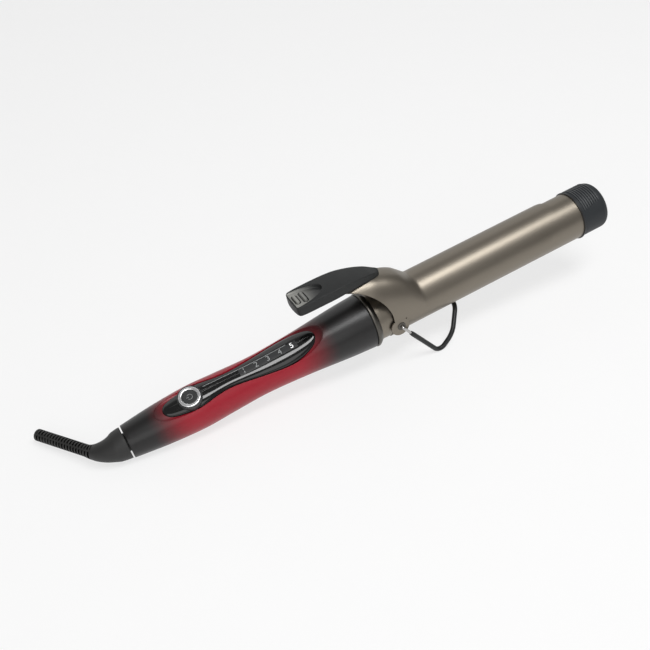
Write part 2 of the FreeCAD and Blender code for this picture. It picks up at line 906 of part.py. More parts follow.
def main():
    os.makedirs("parts", exist_ok=True)
    shapes = build()
    tilt = rest_tilt()
    whole = Part.makeCompound(list(shapes.values()))
    whole.rotate(ORIGIN, ACROSS, -tilt)
    bounds = whole.optimalBoundingBox(False, False)
    shift = V(-bounds.Center.x, -bounds.Center.y, -bounds.ZMin)
    for name, shape in shapes.items():
        shape.rotate(ORIGIN, ACROSS, -tilt)
        shape.translate(shift)
        shape.exportStep(f"parts/{name}.step")
        state = "valid" if shape.isValid() else "NOT VALID"
        print(f"{name}: {len(shape.Solids)} solids, {shape.Volume:.0f} mm3, {state}")

    def placed(point):
        turned = FreeCAD.Rotation(ACROSS, -tilt).multVec(point)
        return tuple(round(value, 4) for value in turned + shift)

    def turned_axis(axis):
        turned = FreeCAD.Rotation(ACROSS, -tilt).multVec(axis)
        return tuple(round(value, 6) for value in turned)

    press = FreeCAD.Rotation(ALONG, controls_turn).multVec(V(0, 0, -1))
    button = FreeCAD.Rotation(ALONG, controls_turn).multVec(V(button_x, 0, button_top))
    run = boot_path().Edges[2]
    mouth = run.valueAt(run.LastParameter)
    print("tilt", round(tilt, 4), "shift", tuple(round(value, 4) for value in shift))
    print("size", [round(bounds.XLength, 2), round(bounds.YLength, 2), round(bounds.ZLength, 2)])
    print("hinge", placed(V(hinge_x, 0, hinge_z)))
    print("swivel", placed(ORIGIN), turned_axis(ALONG))
    print("button", placed(button), turned_axis(press))
    print("cord mouth", placed(mouth), turned_axis(run.tangentAt(run.LastParameter)))


main()
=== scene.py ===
# %% [markdown]
# # A curling iron, built round its frame
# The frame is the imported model: every CAD piece at its real place, in metres.
# This script keeps that frame and gives the iron its finished surfaces. It
# works in the iron's own directions, which are easy to think in: X runs along
# the barrel, Z points at the thumb lever, and lengths are millimetres.

# %% Load the frame
import json
import math

import bmesh
import bpy
from mathutils import Matrix, Vector
from mathutils.kdtree import KDTree


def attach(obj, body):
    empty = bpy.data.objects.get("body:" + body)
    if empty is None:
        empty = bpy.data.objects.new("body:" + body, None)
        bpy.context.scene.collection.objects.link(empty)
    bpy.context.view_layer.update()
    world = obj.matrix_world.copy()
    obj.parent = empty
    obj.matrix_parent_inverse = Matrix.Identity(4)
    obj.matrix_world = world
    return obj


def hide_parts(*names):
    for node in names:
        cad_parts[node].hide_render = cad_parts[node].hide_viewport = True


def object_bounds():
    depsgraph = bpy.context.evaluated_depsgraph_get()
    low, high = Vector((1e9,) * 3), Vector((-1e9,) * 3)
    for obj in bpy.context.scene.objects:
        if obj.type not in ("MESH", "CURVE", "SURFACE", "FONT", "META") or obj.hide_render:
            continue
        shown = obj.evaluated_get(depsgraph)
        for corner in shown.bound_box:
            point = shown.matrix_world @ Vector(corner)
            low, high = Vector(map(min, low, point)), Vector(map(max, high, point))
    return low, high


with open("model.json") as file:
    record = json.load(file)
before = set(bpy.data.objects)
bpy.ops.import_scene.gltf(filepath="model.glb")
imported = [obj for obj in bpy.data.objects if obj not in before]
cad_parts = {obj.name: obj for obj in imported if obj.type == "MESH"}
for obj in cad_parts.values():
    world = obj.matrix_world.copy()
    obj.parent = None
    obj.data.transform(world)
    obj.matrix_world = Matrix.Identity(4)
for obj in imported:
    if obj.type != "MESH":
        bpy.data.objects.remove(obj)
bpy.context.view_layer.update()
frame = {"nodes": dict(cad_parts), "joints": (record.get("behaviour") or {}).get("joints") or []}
joints = {joint["name"]: joint for joint in frame["joints"]}

# %% [markdown]
# ## The iron's own directions
# The iron leans on its stand, so its barrel isn't level. Two joints say how
# it lies: the cord turns about the barrel's axis, and the button is pressed
# straight into the control side. Both matrices come from those two joints, so
# they stay right if the CAD model leans differently.

# %% Matrices from iron millimetres to frame metres
turn = joints["cord_turn"]
barrel_axis = Vector(turn["axis"]).normalized()
across_axis = Vector((0.0, 1.0, 0.0))
lever_axis = barrel_axis.cross(across_axis).normalized()
MM = 0.001
IRON = Matrix.Translation(Vector(turn["pos_m"])) @ Matrix((
    (barrel_axis.x, across_axis.x, lever_axis.x, 0),
    (barrel_axis.y, across_axis.y, lever_axis.y, 0),
    (barrel_axis.z, across_axis.z, lever_axis.z, 0),
    (0, 0, 0, 1),
)) @ Matrix.Scale(MM, 4)
press = -Vector(joints["button_press"]["axis"])
controls_turn = math.atan2(-press.dot(across_axis), press.dot(lever_axis))
CONTROLS = IRON @ Matrix.Rotation(controls_turn, 4, "X")


def in_iron(point):
    """A point of the frame, in iron millimetres."""
    return IRON.inverted() @ Vector(point)


def along_iron(node):
    """Where a CAD node starts and ends along the barrel's axis, in millimetres."""
    mesh = frame["nodes"][node].data
    places = [(IRON.inverted() @ vertex.co).x for vertex in mesh.vertices]
    return min(places), max(places)


hinge = in_iron(joints["clamp_hinge"]["pos_m"])
print("controls turned", round(math.degrees(controls_turn), 2), "degrees; hinge at", tuple(hinge))

# %% [markdown]
# ## Mesh helpers
# Nearly everything on a curling iron is turned, drawn or bent, so most pieces
# are grids of points: rows that follow a length, columns that go round it. A
# grid gives even quads, which shade cleanly on glossy paint and metal.


# %% Turn lists of points into smooth objects
def make_object(name, points, faces, placing=IRON, smooth_angle=40.0):
    mesh = bpy.data.meshes.new(name)
    mesh.from_pydata([placing @ Vector(point) for point in points], [], faces)
    mesh.validate()
    shape = bmesh.new()
    shape.from_mesh(mesh)
    bmesh.ops.remove_doubles(shape, verts=shape.verts, dist=1e-6)
    bmesh.ops.recalc_face_normals(shape, faces=shape.faces)
    for face in shape.faces:
        face.smooth = True
    for edge in shape.edges:
        if len(edge.link_faces) == 2:
            edge.smooth = edge.calc_face_angle() < math.radians(smooth_angle)
    shape.to_mesh(mesh)
    shape.free()
    piece = bpy.data.objects.new(name, mesh)
    bpy.context.scene.collection.objects.link(piece)
    print("made", name, "with", len(mesh.polygons), "faces")
    return piece


def grid_faces(rows, columns, wrap_rows=False, wrap_columns=False, first=0):
    """Quads of a grid whose points are listed row by row."""
    faces = []
    for row in range(rows if wrap_rows else rows - 1):
        for column in range(columns if wrap_columns else columns - 1):
            next_row = (row + 1) % rows
            next_column = (column + 1) % columns
            faces.append((
                first + row * columns + column,
                first + next_row * columns + column,
                first + next_row * columns + next_column,
                first + row * columns + next_column,
            ))
    return faces


def circle_row(x, radius, columns):
    steps = [2 * math.pi * column / columns for column in range(columns)]
    return [(x, radius * math.sin(step), radius * math.cos(step)) for step in steps]


def lathe(name, outline, columns=128, placing=IRON, **options):
    """Turned piece: outline is (place along the axis, radius), and closes on itself."""
    points = []
    for x, radius in outline:
        points += circle_row(x, radius, columns)
    faces = grid_faces(len(outline), columns, wrap_rows=True, wrap_columns=True)
    return make_object(name, points, faces, placing, **options)


def rounded(corners, radius, steps=6):
    """An open outline whose inner corners become arcs of about that radius."""
    result = [corners[0]]
    for before, corner, after in zip(corners, corners[1:], corners[2:]):
        a, b, c = (Vector((p[0], p[1], 0)) for p in (before, corner, after))
        reach = min(radius, (a - b).length * 0.45, (c - b).length * 0.45)
        start = b + (a - b).normalized() * reach
        end = b + (c - b).normalized() * reach
        for step in range(steps + 1):
            t = step / steps
            place = start * (1 - t) ** 2 + b * (2 * t * (1 - t)) + end * t ** 2
            result.append((place.x, place.y))
    result.append(corners[-1])
    return result


def smooth_through(stations, value):
    """Value at a place along a smooth curve through stations of (place, value)."""
    if value <= stations[0][0]:
        return stations[0][1]
    for index in range(len(stations) - 1):
        x0, y0 = stations[index]
        x1, y1 = stations[index + 1]
        if value <= x1:
            before = stations[max(index - 1, 0)]
            after = stations[min(index + 2, len(stations) - 1)]
            slope_0 = (y1 - before[1]) / (x1 - before[0])
            slope_1 = (after[1] - y0) / (after[0] - x0)
            t = (value - x0) / (x1 - x0)
            run = x1 - x0
            return (
                (2 * t ** 3 - 3 * t ** 2 + 1) * y0
                + (t ** 3 - 2 * t ** 2 + t) * run * slope_0
                + (3 * t ** 2 - 2 * t ** 3) * y1
                + (t ** 3 - t ** 2) * run * slope_1
            )
    return stations[-1][1]


def ease(low, high, value):
    t = min(max((value - low) / (high - low), 0.0), 1.0)
    return t * t * (3 - 2 * t)


def frames_along(path):
    """A place, a side and an up direction at each point of a path, without twist."""
    result = []
    side = None
    for index, place in enumerate(path):
        ahead = path[min(index + 1, len(path) - 1)] - path[max(index - 1, 0)]
        ahead.normalize()
        if side is None:
            side = ahead.cross(Vector((0, 0, 1)) if abs(ahead.z) < 0.9 else Vector((1, 0, 0)))
        side = (side - ahead * side.dot(ahead)).normalized()
        result.append((place, side, ahead.cross(side)))
    return result


def hose(name, path, radius_at, columns=32, placing=IRON, **options):
    """Round piece that follows a path; radius_at gives its radius at a row and angle."""
    points = []
    for row, (place, side, up) in enumerate(frames_along(path)):
        for column in range(columns):
            angle = 2 * math.pi * column / columns
            radius = radius_at(row, angle)
            points.append(place + side * (radius * math.cos(angle)) + up * (radius * math.sin(angle)))
    faces = grid_faces(len(path), columns, wrap_columns=True)
    faces.append(tuple(range(columns)))
    faces.append(tuple(reversed(range(len(points) - columns, len(points)))))
    return make_object(name, points, faces, placing, **options)


def rounded_route(corners, radii, steps=14, spacing=3.0):
    """Points along straight runs joined by tangent arcs, like a bent wire."""
    route = [corners[0]]

    def run_to(end):
        start = route[-1]
        count = max(1, int((end - start).length / spacing))
        route.extend(start.lerp(end, step / count) for step in range(1, count + 1))

    for before, corner, after, radius in zip(corners, corners[1:], corners[2:], radii):
        to_before = (before - corner).normalized()
        to_after = (after - corner).normalized()
        half = to_before.angle(to_after) / 2
        entry = corner + to_before * (radius / math.tan(half))
        leave = corner + to_after * (radius / math.tan(half))
        centre = corner + (to_before + to_after).normalized() * (radius / math.sin(half))
        run_to(entry)
        first = entry - centre
        last = leave - centre
        bend = first.angle(last)
        for step in range(1, steps + 1):
            t = step / steps
            arm = (first * math.sin((1 - t) * bend) + last * math.sin(t * bend)) / math.sin(bend)
            route.append(centre + arm)
    run_to(corners[-1])
    return route


def settle(piece, body, material, slot, *nodes):
    """Everything a finished piece needs: its material, body and the CAD it stands for. The slot argument is not used.
    """
    piece.data.materials.clear()
    piece.data.materials.append(material)
    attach(piece, body)
    if nodes:
        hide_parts(*nodes)
    return piece


# %% [markdown]
# ## Shader helpers
# A material is a small sum: a mask times a colour, a noise plus a bias. The
# wrapper below lets such sums be written as Python expressions. Each operator
# adds one Math node, so the node tree says the same thing as the line of code.


# %% A socket with arithmetic
class Socket:
    def __init__(self, shader, socket):
        self.shader = shader
        self.socket = socket

    def combine(self, operation, first, second):
        return self.shader.node("ShaderNodeMath", {"operation": operation}, {0: first, 1: second})

    def __add__(self, other):
        return self.combine("ADD", self, other)

    def __radd__(self, other):
        return self.combine("ADD", other, self)

    def __sub__(self, other):
        return self.combine("SUBTRACT", self, other)

    def __rsub__(self, other):
        return self.combine("SUBTRACT", other, self)

    def __mul__(self, other):
        return self.combine("MULTIPLY", self, other)

    def __rmul__(self, other):
        return self.combine("MULTIPLY", other, self)

    def __truediv__(self, other):
        return self.combine("DIVIDE", self, other)

    def __pow__(self, other):
        return self.combine("POWER", self, other)


class Shader:
    """One material, with helpers that add nodes to its tree."""

    def __init__(self, name, **constants):
        self.material = bpy.data.materials.new(name)
        self.material.use_nodes = True
        self.tree = self.material.node_tree
        self.surface = self.tree.nodes["Principled BSDF"]
        for socket, value in constants.items():
            self.surface.inputs[socket.replace("_", " ")].default_value = value

    def node(self, kind, settings=None, values=None, output=0):
        """Adds a node: its settings first, then the values or links of its sockets."""
        added = self.tree.nodes.new(kind)
        for key, value in (settings or {}).items():
            if key == "stops":
                ramp = added.color_ramp.elements
                while len(ramp) < len(value):
                    ramp.new(0.5)
                for element, (place, colour) in zip(ramp, value):
                    element.position = place
                    element.color = colour
            else:
                setattr(added, key, value)
        for key, value in (values or {}).items():
            self.feed(added.inputs[key], value)
        return Socket(self, added.outputs[output])

    def feed(self, target, value):
        if isinstance(value, Socket):
            self.tree.links.new(value.socket, target)
        else:
            target.default_value = value

    def coordinate(self):
        return self.node("ShaderNodeTexCoord", output="Object")

    def noise(self, scale, detail=3.0, roughness=0.5, stretch=None):
        """Noise over the surface; stretch squeezes or draws it along each direction."""
        place = self.coordinate()
        if stretch:
            place = self.node("ShaderNodeMapping", None, {"Vector": place, "Scale": stretch})
        values = {"Vector": place, "Scale": scale, "Detail": detail, "Roughness": roughness}
        return self.node("ShaderNodeTexNoise", None, values)

    def measure(self, direction, origin):
        """Distance from a frame point along a direction, in millimetres."""
        offset = self.node(
            "ShaderNodeVectorMath", {"operation": "SUBTRACT"},
            {0: self.coordinate(), 1: tuple(origin)},
        )
        reach = self.node(
            "ShaderNodeVectorMath", {"operation": "DOT_PRODUCT"},
            {0: offset, 1: tuple(direction)}, output="Value",
        )
        return reach / MM

    def step(self, value, low, high):
        """0 below low and 1 above high, smooth between."""
        settings = {"interpolation_type": "SMOOTHSTEP"}
        return self.node("ShaderNodeMapRange", settings, {0: value, 1: low, 2: high, 3: 0.0, 4: 1.0})

    def mix(self, share, first, second):
        """Colour mix; share 0 shows the first colour and 1 the second."""
        return self.node(
            "ShaderNodeMix", {"data_type": "RGBA"}, {0: share, 6: first, 7: second}, output=2
        )

    def bump(self, height, distance, strength=1.0):
        values = {"Height": height, "Distance": distance, "Strength": strength}
        self.feed(self.surface.inputs["Normal"], self.node("ShaderNodeBump", None, values))

    def set(self, **links):
        for socket, value in links.items():
            self.feed(self.surface.inputs[socket.replace("_", " ")], value)
        return self


def rgb(red, green, blue):
    return (red, green, blue, 1.0)


origin = IRON.translation
axis = barrel_axis

# %% [markdown]
# ## Finishes
# The barrel and clamp carry one bronze-taupe coating: metallic flakes in a
# satin lacquer. It is a metal shader with a faint flake noise in its colour,
# roughness and bump, and a slow drift in its tone.


# %% Bronze coating
def bronze_finish(name):
    shader = Shader(name, Metallic=1.0, Coat_Roughness=0.35)
    flakes = shader.noise(5200.0, 2.0)
    drift = shader.noise(38.0, 3.0)
    tone = shader.mix(drift, rgb(0.195, 0.172, 0.140), rgb(0.232, 0.206, 0.170))
    shader.set(
        Base_Color=shader.mix(flakes * 0.5, tone, rgb(0.30, 0.27, 0.225)),
        Roughness=0.34 + flakes * 0.08 + drift * 0.05,
    )
    shader.bump(flakes, 0.00002, 0.12)
    return shader.material


bronze = bronze_finish("bronze coating")
bronze_clamp = bronze_finish("bronze clamp coating")

# %% [markdown]
# The handle is sprayed: crimson in the middle, and black mist from both ends.
# The red is measured along the barrel's axis, so the fade stays with the
# handle. A satin clear coat lies over both colours.


# %% Faded handle paint
def faded_paint(name, handle_end):
    shader = Shader(name, IOR=1.42, Coat_Roughness=0.25, Coat_Weight=0.15)
    place = shader.measure(axis, origin)
    drift = shader.noise(60.0, 2.0)
    speckle = shader.noise(2600.0, 3.0)
    soft_place = place + (drift - 0.5) * 5.0 + (speckle - 0.5) * 6.0
    rise = shader.step(soft_place, 14.0, 42.0)
    fall = 1.0 - shader.step(soft_place, handle_end - 56.0, handle_end - 24.0)
    red = shader.mix(speckle, rgb(0.27, 0.002, 0.012), rgb(0.34, 0.004, 0.018))
    shader.set(
        Base_Color=shader.mix(rise * fall, rgb(0.008, 0.0075, 0.0075), red),
        Roughness=0.36 + speckle * 0.08,
    )
    shader.bump(speckle, 0.00003, 0.10)
    return shader.material


handle_rear, handle_front = along_iron("handle_lower_shell")
paint = faded_paint("faded handle paint", handle_front)

# %% [markdown]
# The plastics differ mostly in sheen: the lever and the cap are matt with a
# fine spark-eroded grain, the sleeve is soft rubber, and the panel is polished.


# %% Plastics, rubber and small metals
def grained_plastic(name, colour, lighter, roughness, grain, depth, ior=1.48):
    shader = Shader(name, IOR=ior)
    texture = shader.noise(grain, 4.0, 0.6)
    wear = shader.noise(45.0, 3.0)
    shader.set(
        Base_Color=shader.mix(texture * 0.6 + wear * 0.3, colour, lighter),
        Roughness=roughness + texture * 0.10 + wear * 0.05,
    )
    shader.bump(texture, depth, 0.5)
    return shader.material


lever_plastic = grained_plastic(
    "lever plastic", rgb(0.011, 0.012, 0.012), rgb(0.024, 0.025, 0.025), 0.44, 3800.0, 0.00004, 1.38)
tip_plastic = grained_plastic(
    "tip plastic", rgb(0.014, 0.016, 0.018), rgb(0.028, 0.032, 0.036), 0.48, 3000.0, 0.00004, 1.40)
boot_rubber = grained_plastic(
    "boot rubber", rgb(0.012, 0.012, 0.012), rgb(0.026, 0.025, 0.024), 0.46, 2400.0, 0.00003)
sleeve_rubber = grained_plastic(
    "stand sleeve rubber", rgb(0.006, 0.007, 0.007), rgb(0.016, 0.017, 0.017), 0.32, 1800.0, 0.00003, 1.42)
dark_plastic = grained_plastic(
    "dark plastic", rgb(0.008, 0.008, 0.008), rgb(0.016, 0.016, 0.016), 0.35, 2500.0, 0.00002)
bezel_plastic = grained_plastic(
    "bezel plastic", rgb(0.030, 0.031, 0.032), rgb(0.055, 0.056, 0.058), 0.28, 3000.0, 0.00002)


def polished_black(name):
    shader = Shader(name, IOR=1.5)
    haze = shader.noise(55.0, 3.0)
    dust = shader.step(shader.noise(1500.0, 2.0), 0.62, 0.72)
    shader.set(
        Base_Color=shader.mix(dust * 0.15, rgb(0.004, 0.004, 0.004), rgb(0.05, 0.05, 0.05)),
        Roughness=0.06 + haze * 0.06 + dust * 0.05,
    )
    return shader.material


def plain_metal(name, colour, lighter, roughness, grain=900.0, stretch=(1.0, 1.0, 1.0)):
    shader = Shader(name, Metallic=1.0)
    streaks = shader.noise(grain, 3.0, 0.5, stretch)
    shader.set(
        Base_Color=shader.mix(streaks, colour, lighter),
        Roughness=roughness + streaks * 0.08,
    )
    shader.bump(streaks, 0.00002, 0.15)
    return shader.material


def printed_mark(name, colour, glow):
    shader = Shader(name, Emission_Strength=glow)
    ink = shader.noise(2500.0, 2.0)
    shade = shader.mix(ink, colour, rgb(*[min(1.0, 1.15 * c) for c in colour[:3]]))
    shader.set(Base_Color=shade, Emission_Color=shade, Roughness=0.35 + ink * 0.1)
    return shader.material


gloss_black = polished_black("polished panel")
chrome = plain_metal("chrome ring", rgb(0.88, 0.88, 0.89), rgb(0.94, 0.94, 0.95), 0.20, 400.0)
bright_steel = plain_metal("bright steel", rgb(0.40, 0.39, 0.38), rgb(0.52, 0.51, 0.50), 0.20)
dark_steel = plain_metal("spring steel", rgb(0.16, 0.15, 0.14), rgb(0.26, 0.25, 0.24), 0.30)
brass = plain_metal("contact brass", rgb(0.62, 0.46, 0.20), rgb(0.75, 0.58, 0.30), 0.25)
core_metal = plain_metal("core aluminium", rgb(0.60, 0.60, 0.61), rgb(0.72, 0.72, 0.73), 0.35)
ceramic = grained_plastic(
    "heater ceramic", rgb(0.70, 0.68, 0.62), rgb(0.80, 0.78, 0.73), 0.60, 1500.0, 0.00002)
board_green = grained_plastic(
    "board green", rgb(0.01, 0.09, 0.03), rgb(0.02, 0.13, 0.05), 0.35, 1200.0, 0.00002)
lead_sleeve = grained_plastic(
    "lead sleeve", rgb(0.45, 0.44, 0.42), rgb(0.55, 0.54, 0.52), 0.55, 1500.0, 0.00003)
grey_print = printed_mark("grey print", rgb(0.30, 0.31, 0.31), 0.0)
lit_print = printed_mark("lit mark", rgb(0.90, 0.91, 0.90), 0.35)
window_tint = grained_plastic(
    "window tint", rgb(0.030, 0.031, 0.032), rgb(0.045, 0.046, 0.047), 0.18, 1400.0, 0.00001)
print("materials:", len(bpy.data.materials))

# %% [markdown]
# ## The handle
# The real handle is two moulded shells. Its skin is a body of revolution with
# a belly for the palm and a waist for the fingers, and a peanut-shaped recess
# is sunk into the control side. The skin is made as a grid, and the recess is
# cut by a solid whose floor follows the skin: a boolean keeps its edge crisp.

# %% Handle profile and recess outline
BARREL_RADIUS = 16.0
FRONT_RADIUS = BARREL_RADIUS + 2.35
HANDLE_PROFILE = [
    (0.0, 10.8), (22.0, 13.2), (46.0, 14.5), (66.0, 13.75), (90.0, 13.0),
    (120.0, 14.6), (handle_front - 16.4, FRONT_RADIUS - 1.05), (handle_front, FRONT_RADIUS),
]
RECESS_SIDE = [(20.5, 0.0), (26.0, 6.3), (46.0, 8.7), (70.5, 6.2), (111.0, 10.1), (130.5, 7.2), (136.5, 0.0)]


def handle_radius(x):
    return smooth_through(HANDLE_PROFILE, x)


def closed_spline(corners, count):
    """Points on a smooth closed curve through the corners."""
    result = []
    total = len(corners)
    per_span = count // total
    for index in range(total):
        p0, p1, p2, p3 = (Vector(corners[(index + shift) % total]) for shift in (-1, 0, 1, 2))
        for step in range(per_span):
            t = step / per_span
            result.append(0.5 * (
                2 * p1 + (p2 - p0) * t
                + (2 * p0 - 5 * p1 + 4 * p2 - p3) * t ** 2
                + (3 * p1 - p0 - 3 * p2 + p3) * t ** 3
            ))
    return result


CENTRE_SHARES = (0.85, 0.7, 0.55, 0.4, 0.27, 0.14, 0.0)


def recess_outline(end_inset, side_inset, count=288):
    """Plan outline of the recess, drawn in at its ends and along its sides."""
    start = RECESS_SIDE[0][0]
    end = RECESS_SIDE[-1][0]
    middle = (start + end) / 2
    shrink = 1 - 2 * end_inset / (end - start)
    near = []
    for x, half in RECESS_SIDE:
        near.append((middle + (x - middle) * shrink, -max(half - side_inset, 0.0)))
    far = [(x, -y) for x, y in reversed(near[1:-1])]
    return closed_spline(near + far, count)


def skin_height(x, y, drop):
    """Height of the handle's skin over its axis, lowered by drop."""
    radius = handle_radius(x) - drop
    return math.sqrt(max(radius ** 2 - y ** 2, 1.0))


# %% Handle shells
WALL = 2.2
REAR_WALL = 2.5


def handle_half(side):
    """One hollow shell, from the parting line round the given side."""
    columns = 97
    pairs = [(0.0, 10.35, 0.0, 6.1), (0.12, 10.7, 0.8, 6.1), (0.5, handle_radius(0.5), REAR_WALL, 6.1)]
    steps = 240
    for step in range(steps + 1):
        x = REAR_WALL + (handle_front - REAR_WALL) * step / steps
        inner = handle_radius(x) - WALL
        if x > handle_front - 7:
            inner = BARREL_RADIUS + 0.06
        pairs.append((x, handle_radius(x), x, inner))
    points = []
    for x, radius, inner_x, inner_radius in pairs:
        angles = [math.pi * (column / (columns - 1) - 0.5) for column in range(columns)]
        points += [(x, radius * math.sin(a), side * radius * math.cos(a)) for a in angles]
        points += [(inner_x, inner_radius * math.sin(a), side * inner_radius * math.cos(a)) for a in reversed(angles)]
    ring = 2 * columns
    faces = grid_faces(len(pairs), ring, wrap_columns=True)
    for first in (0, (len(pairs) - 1) * ring):
        for column in range(columns - 1):
            faces.append((
                first + column, first + column + 1,
                first + ring - 2 - column, first + ring - 1 - column,
            ))
    name = "handle_upper_skin" if side > 0 else "handle_lower_skin"
    return make_object(name, points, faces, CONTROLS)


def recess_cutter():
    """Solid that removes the recess: steep sides, sloped ends, a floor like the skin."""
    rings = [(0.0, 0.0, -0.25), (0.5, 0.25, 0.35), (2.0, 0.55, 0.8), (4.5, 0.75, 1.15), (6.4, 0.9, 1.5)]
    rings += [(8.5, 2.2, 1.55), (16.0, 4.4, 1.6)]
    points = []
    for end_inset, side_inset, depth in rings:
        for x, y in recess_outline(end_inset, side_inset):
            points.append((x, y, skin_height(x, y, depth)))
    count = len(recess_outline(0, 0))
    for share in CENTRE_SHARES:
        points += [(x, y * share, skin_height(x, y * share, 1.6)) for x, y in recess_outline(16.0, 4.4)]
    faces = grid_faces(len(rings) + len(CENTRE_SHARES), count, wrap_columns=True)
    top = len(points)
    points += [(x, y, 24.0) for x, y in recess_outline(0.0, 0.0)]
    faces += [(index, (index + 1) % count, top + (index + 1) % count, top + index) for index in range(count)]
    faces.append(tuple(range(top, top + count)))
    return make_object("recess_cutter", points, faces, CONTROLS)


def carve(piece, cutter):
    modifier = piece.modifiers.new("carve", "BOOLEAN")
    modifier.operation = "DIFFERENCE"
    modifier.solver = "EXACT"
    modifier.object = cutter
    graph = bpy.context.evaluated_depsgraph_get()
    carved = bpy.data.meshes.new_from_object(piece.evaluated_get(graph))
    piece.modifiers.clear()
    piece.data = carved
    bpy.data.objects.remove(cutter)
    print("carved", piece.name, "to", len(carved.polygons), "faces")


def shade_by_angle(piece, degrees):
    shape = bmesh.new()
    shape.from_mesh(piece.data)
    for face in shape.faces:
        face.smooth = True
    for edge in shape.edges:
        if len(edge.link_faces) == 2:
            edge.smooth = edge.calc_face_angle(0.0) < math.radians(degrees)
    shape.to_mesh(piece.data)
    shape.free()


upper_skin = handle_half(1)
carve(upper_skin, recess_cutter())
shade_by_angle(upper_skin, 24.0)
lower_skin = handle_half(-1)
settle(upper_skin, "iron", paint, "painted_shell", "handle_upper_shell")
settle(lower_skin, "iron", paint, "painted_shell", "handle_lower_shell")

# %% [markdown]
# The recess has a fine raised edge where the mould meets the paint. It is a
# thin bead along the outline, and it draws the pale line that the light gives.

# %% Recess edge bead
bead_path = [Vector((x, y, skin_height(x, y, 0.05))) for x, y in recess_outline(0, 0)]


def ring_hose(name, loop, radius, placing, columns=10):
    points = []
    count = len(loop)
    for index, place in enumerate(loop):
        ahead = (loop[(index + 1) % count] - loop[index - 1]).normalized()
        outward = Vector((0, place.y, place.z)).normalized()
        side = ahead.cross(outward).normalized()
        for column in range(columns):
            angle = 2 * math.pi * column / columns
            points.append(place + side * (radius * math.cos(angle)) + outward * (radius * math.sin(angle)))
    faces = grid_faces(count, columns, wrap_rows=True, wrap_columns=True)
    return make_object(name, points, faces, placing)


edge_bead = ring_hose("recess_edge", bead_path, 0.22, CONTROLS)
settle(edge_bead, "iron", paint, "painted_shell")

# %% [markdown]
# ## The control panel
# A polished black insert lies in the recess. Its middle is nearly flat and
# its shoulders fall away fast, which is what makes one long bright band beside
# the marks. Rings that shrink from the outline give the shoulder its curve.


# %% Panel insert
def control_panel():
    rings = [
        (5.6, 0.55, 2.4), (5.6, 0.55, 1.2), (5.75, 0.65, 0.85), (6.0, 0.85, 0.58), (6.4, 1.15, 0.36),
        (7.0, 1.55, 0.19), (7.8, 2.05, 0.06), (8.8, 2.7, -0.03), (10.0, 3.4, -0.09), (11.5, 4.1, -0.12),
    ]
    points = []
    for end_inset, side_inset, drop in rings:
        for x, y in recess_outline(end_inset, side_inset):
            points.append((x, y, skin_height(x, y, drop)))
    for share in CENTRE_SHARES:
        points += [(x, y * share, skin_height(x, y * share, -0.12)) for x, y in recess_outline(11.5, 4.1)]
    for share in CENTRE_SHARES[::-1] + (1.0,):
        points += [(x, y * share, skin_height(x, y * share, 2.4)) for x, y in recess_outline(5.6, 0.55)]
    count = len(recess_outline(0, 0))
    faces = grid_faces(len(points) // count, count, wrap_columns=True)
    return make_object("control_insert", points, faces, CONTROLS, smooth_angle=50.0)


panel = settle(control_panel(), "iron", gloss_black, "gloss_black", "control_panel", "indicator_lens")


# %% Level window, marks and digits
def on_panel(x, y, lift):
    """A point just over the panel's face."""
    return (x, y, skin_height(x, y, -0.12) + lift)


def panel_strip(name, x0, x1, y0, y1, lift, thickness=0.12, columns=8):
    """Thin strip that follows the panel's face, with its thickness."""
    rows = max(2, int((x1 - x0) / 0.6))
    points = []
    for row in range(rows + 1):
        x = x0 + (x1 - x0) * row / rows
        top = [on_panel(x, y0 + (y1 - y0) * c / columns, lift) for c in range(columns + 1)]
        bottom = [on_panel(x, y0 + (y1 - y0) * c / columns, lift - thickness) for c in range(columns + 1)]
        points += top + bottom[::-1]
    ring = 2 * (columns + 1)
    faces = grid_faces(rows + 1, ring, wrap_columns=True)
    faces.append(tuple(range(ring)))
    faces.append(tuple(range(rows * ring, (rows + 1) * ring)))
    return make_object(name, points, faces, CONTROLS, smooth_angle=30.0)


FIRST_MARK = 81.5
MARK_PITCH = 8.3
window = panel_strip("level_window", FIRST_MARK - 3.3, FIRST_MARK + 4 * MARK_PITCH + 3.5, -2.3, 2.3, 0.03)
settle(window, "iron", window_tint, "smoked_lens", "indicator_lens")
window_line = panel_strip("window_line", 54.5, FIRST_MARK + 4 * MARK_PITCH - 3.0, 2.45, 2.8, 0.09, columns=2)
settle(window_line, "iron", grey_print, "gloss_black")


def digit(text, x, material):
    """One printed digit: a text outline turned into a mesh and laid on the panel."""
    curve = bpy.data.curves.new("digit_" + text, "FONT")
    curve.body = text
    curve.size = 5.2
    curve.extrude = 0.04
    curve.align_x = "CENTER"
    curve.align_y = "CENTER"
    holder = bpy.data.objects.new("digit", curve)
    bpy.context.scene.collection.objects.link(holder)
    graph = bpy.context.evaluated_depsgraph_get()
    mesh = bpy.data.meshes.new_from_object(holder.evaluated_get(graph))
    bpy.data.objects.remove(holder)
    for vertex in mesh.vertices:
        place = on_panel(x + vertex.co.x, vertex.co.y, 0.10 + vertex.co.z)
        vertex.co = CONTROLS @ Vector(place)
    piece = bpy.data.objects.new("level_digit_" + text, mesh)
    bpy.context.scene.collection.objects.link(piece)
    return settle(piece, "iron", material, "gloss_black")


for number in range(1, 6):
    ink = lit_print if number == 5 else grey_print
    digit(str(number), FIRST_MARK + (number - 1) * MARK_PITCH, ink)
print("window and digits placed")

# %% [markdown]
# ## The power button
# A dark stepped bezel, a bright rounded ring and a grained cap with a power
# symbol. All are turned parts, so each is one outline spun about the button's
# axis. The panel and the shell get a round seat for the bezel.

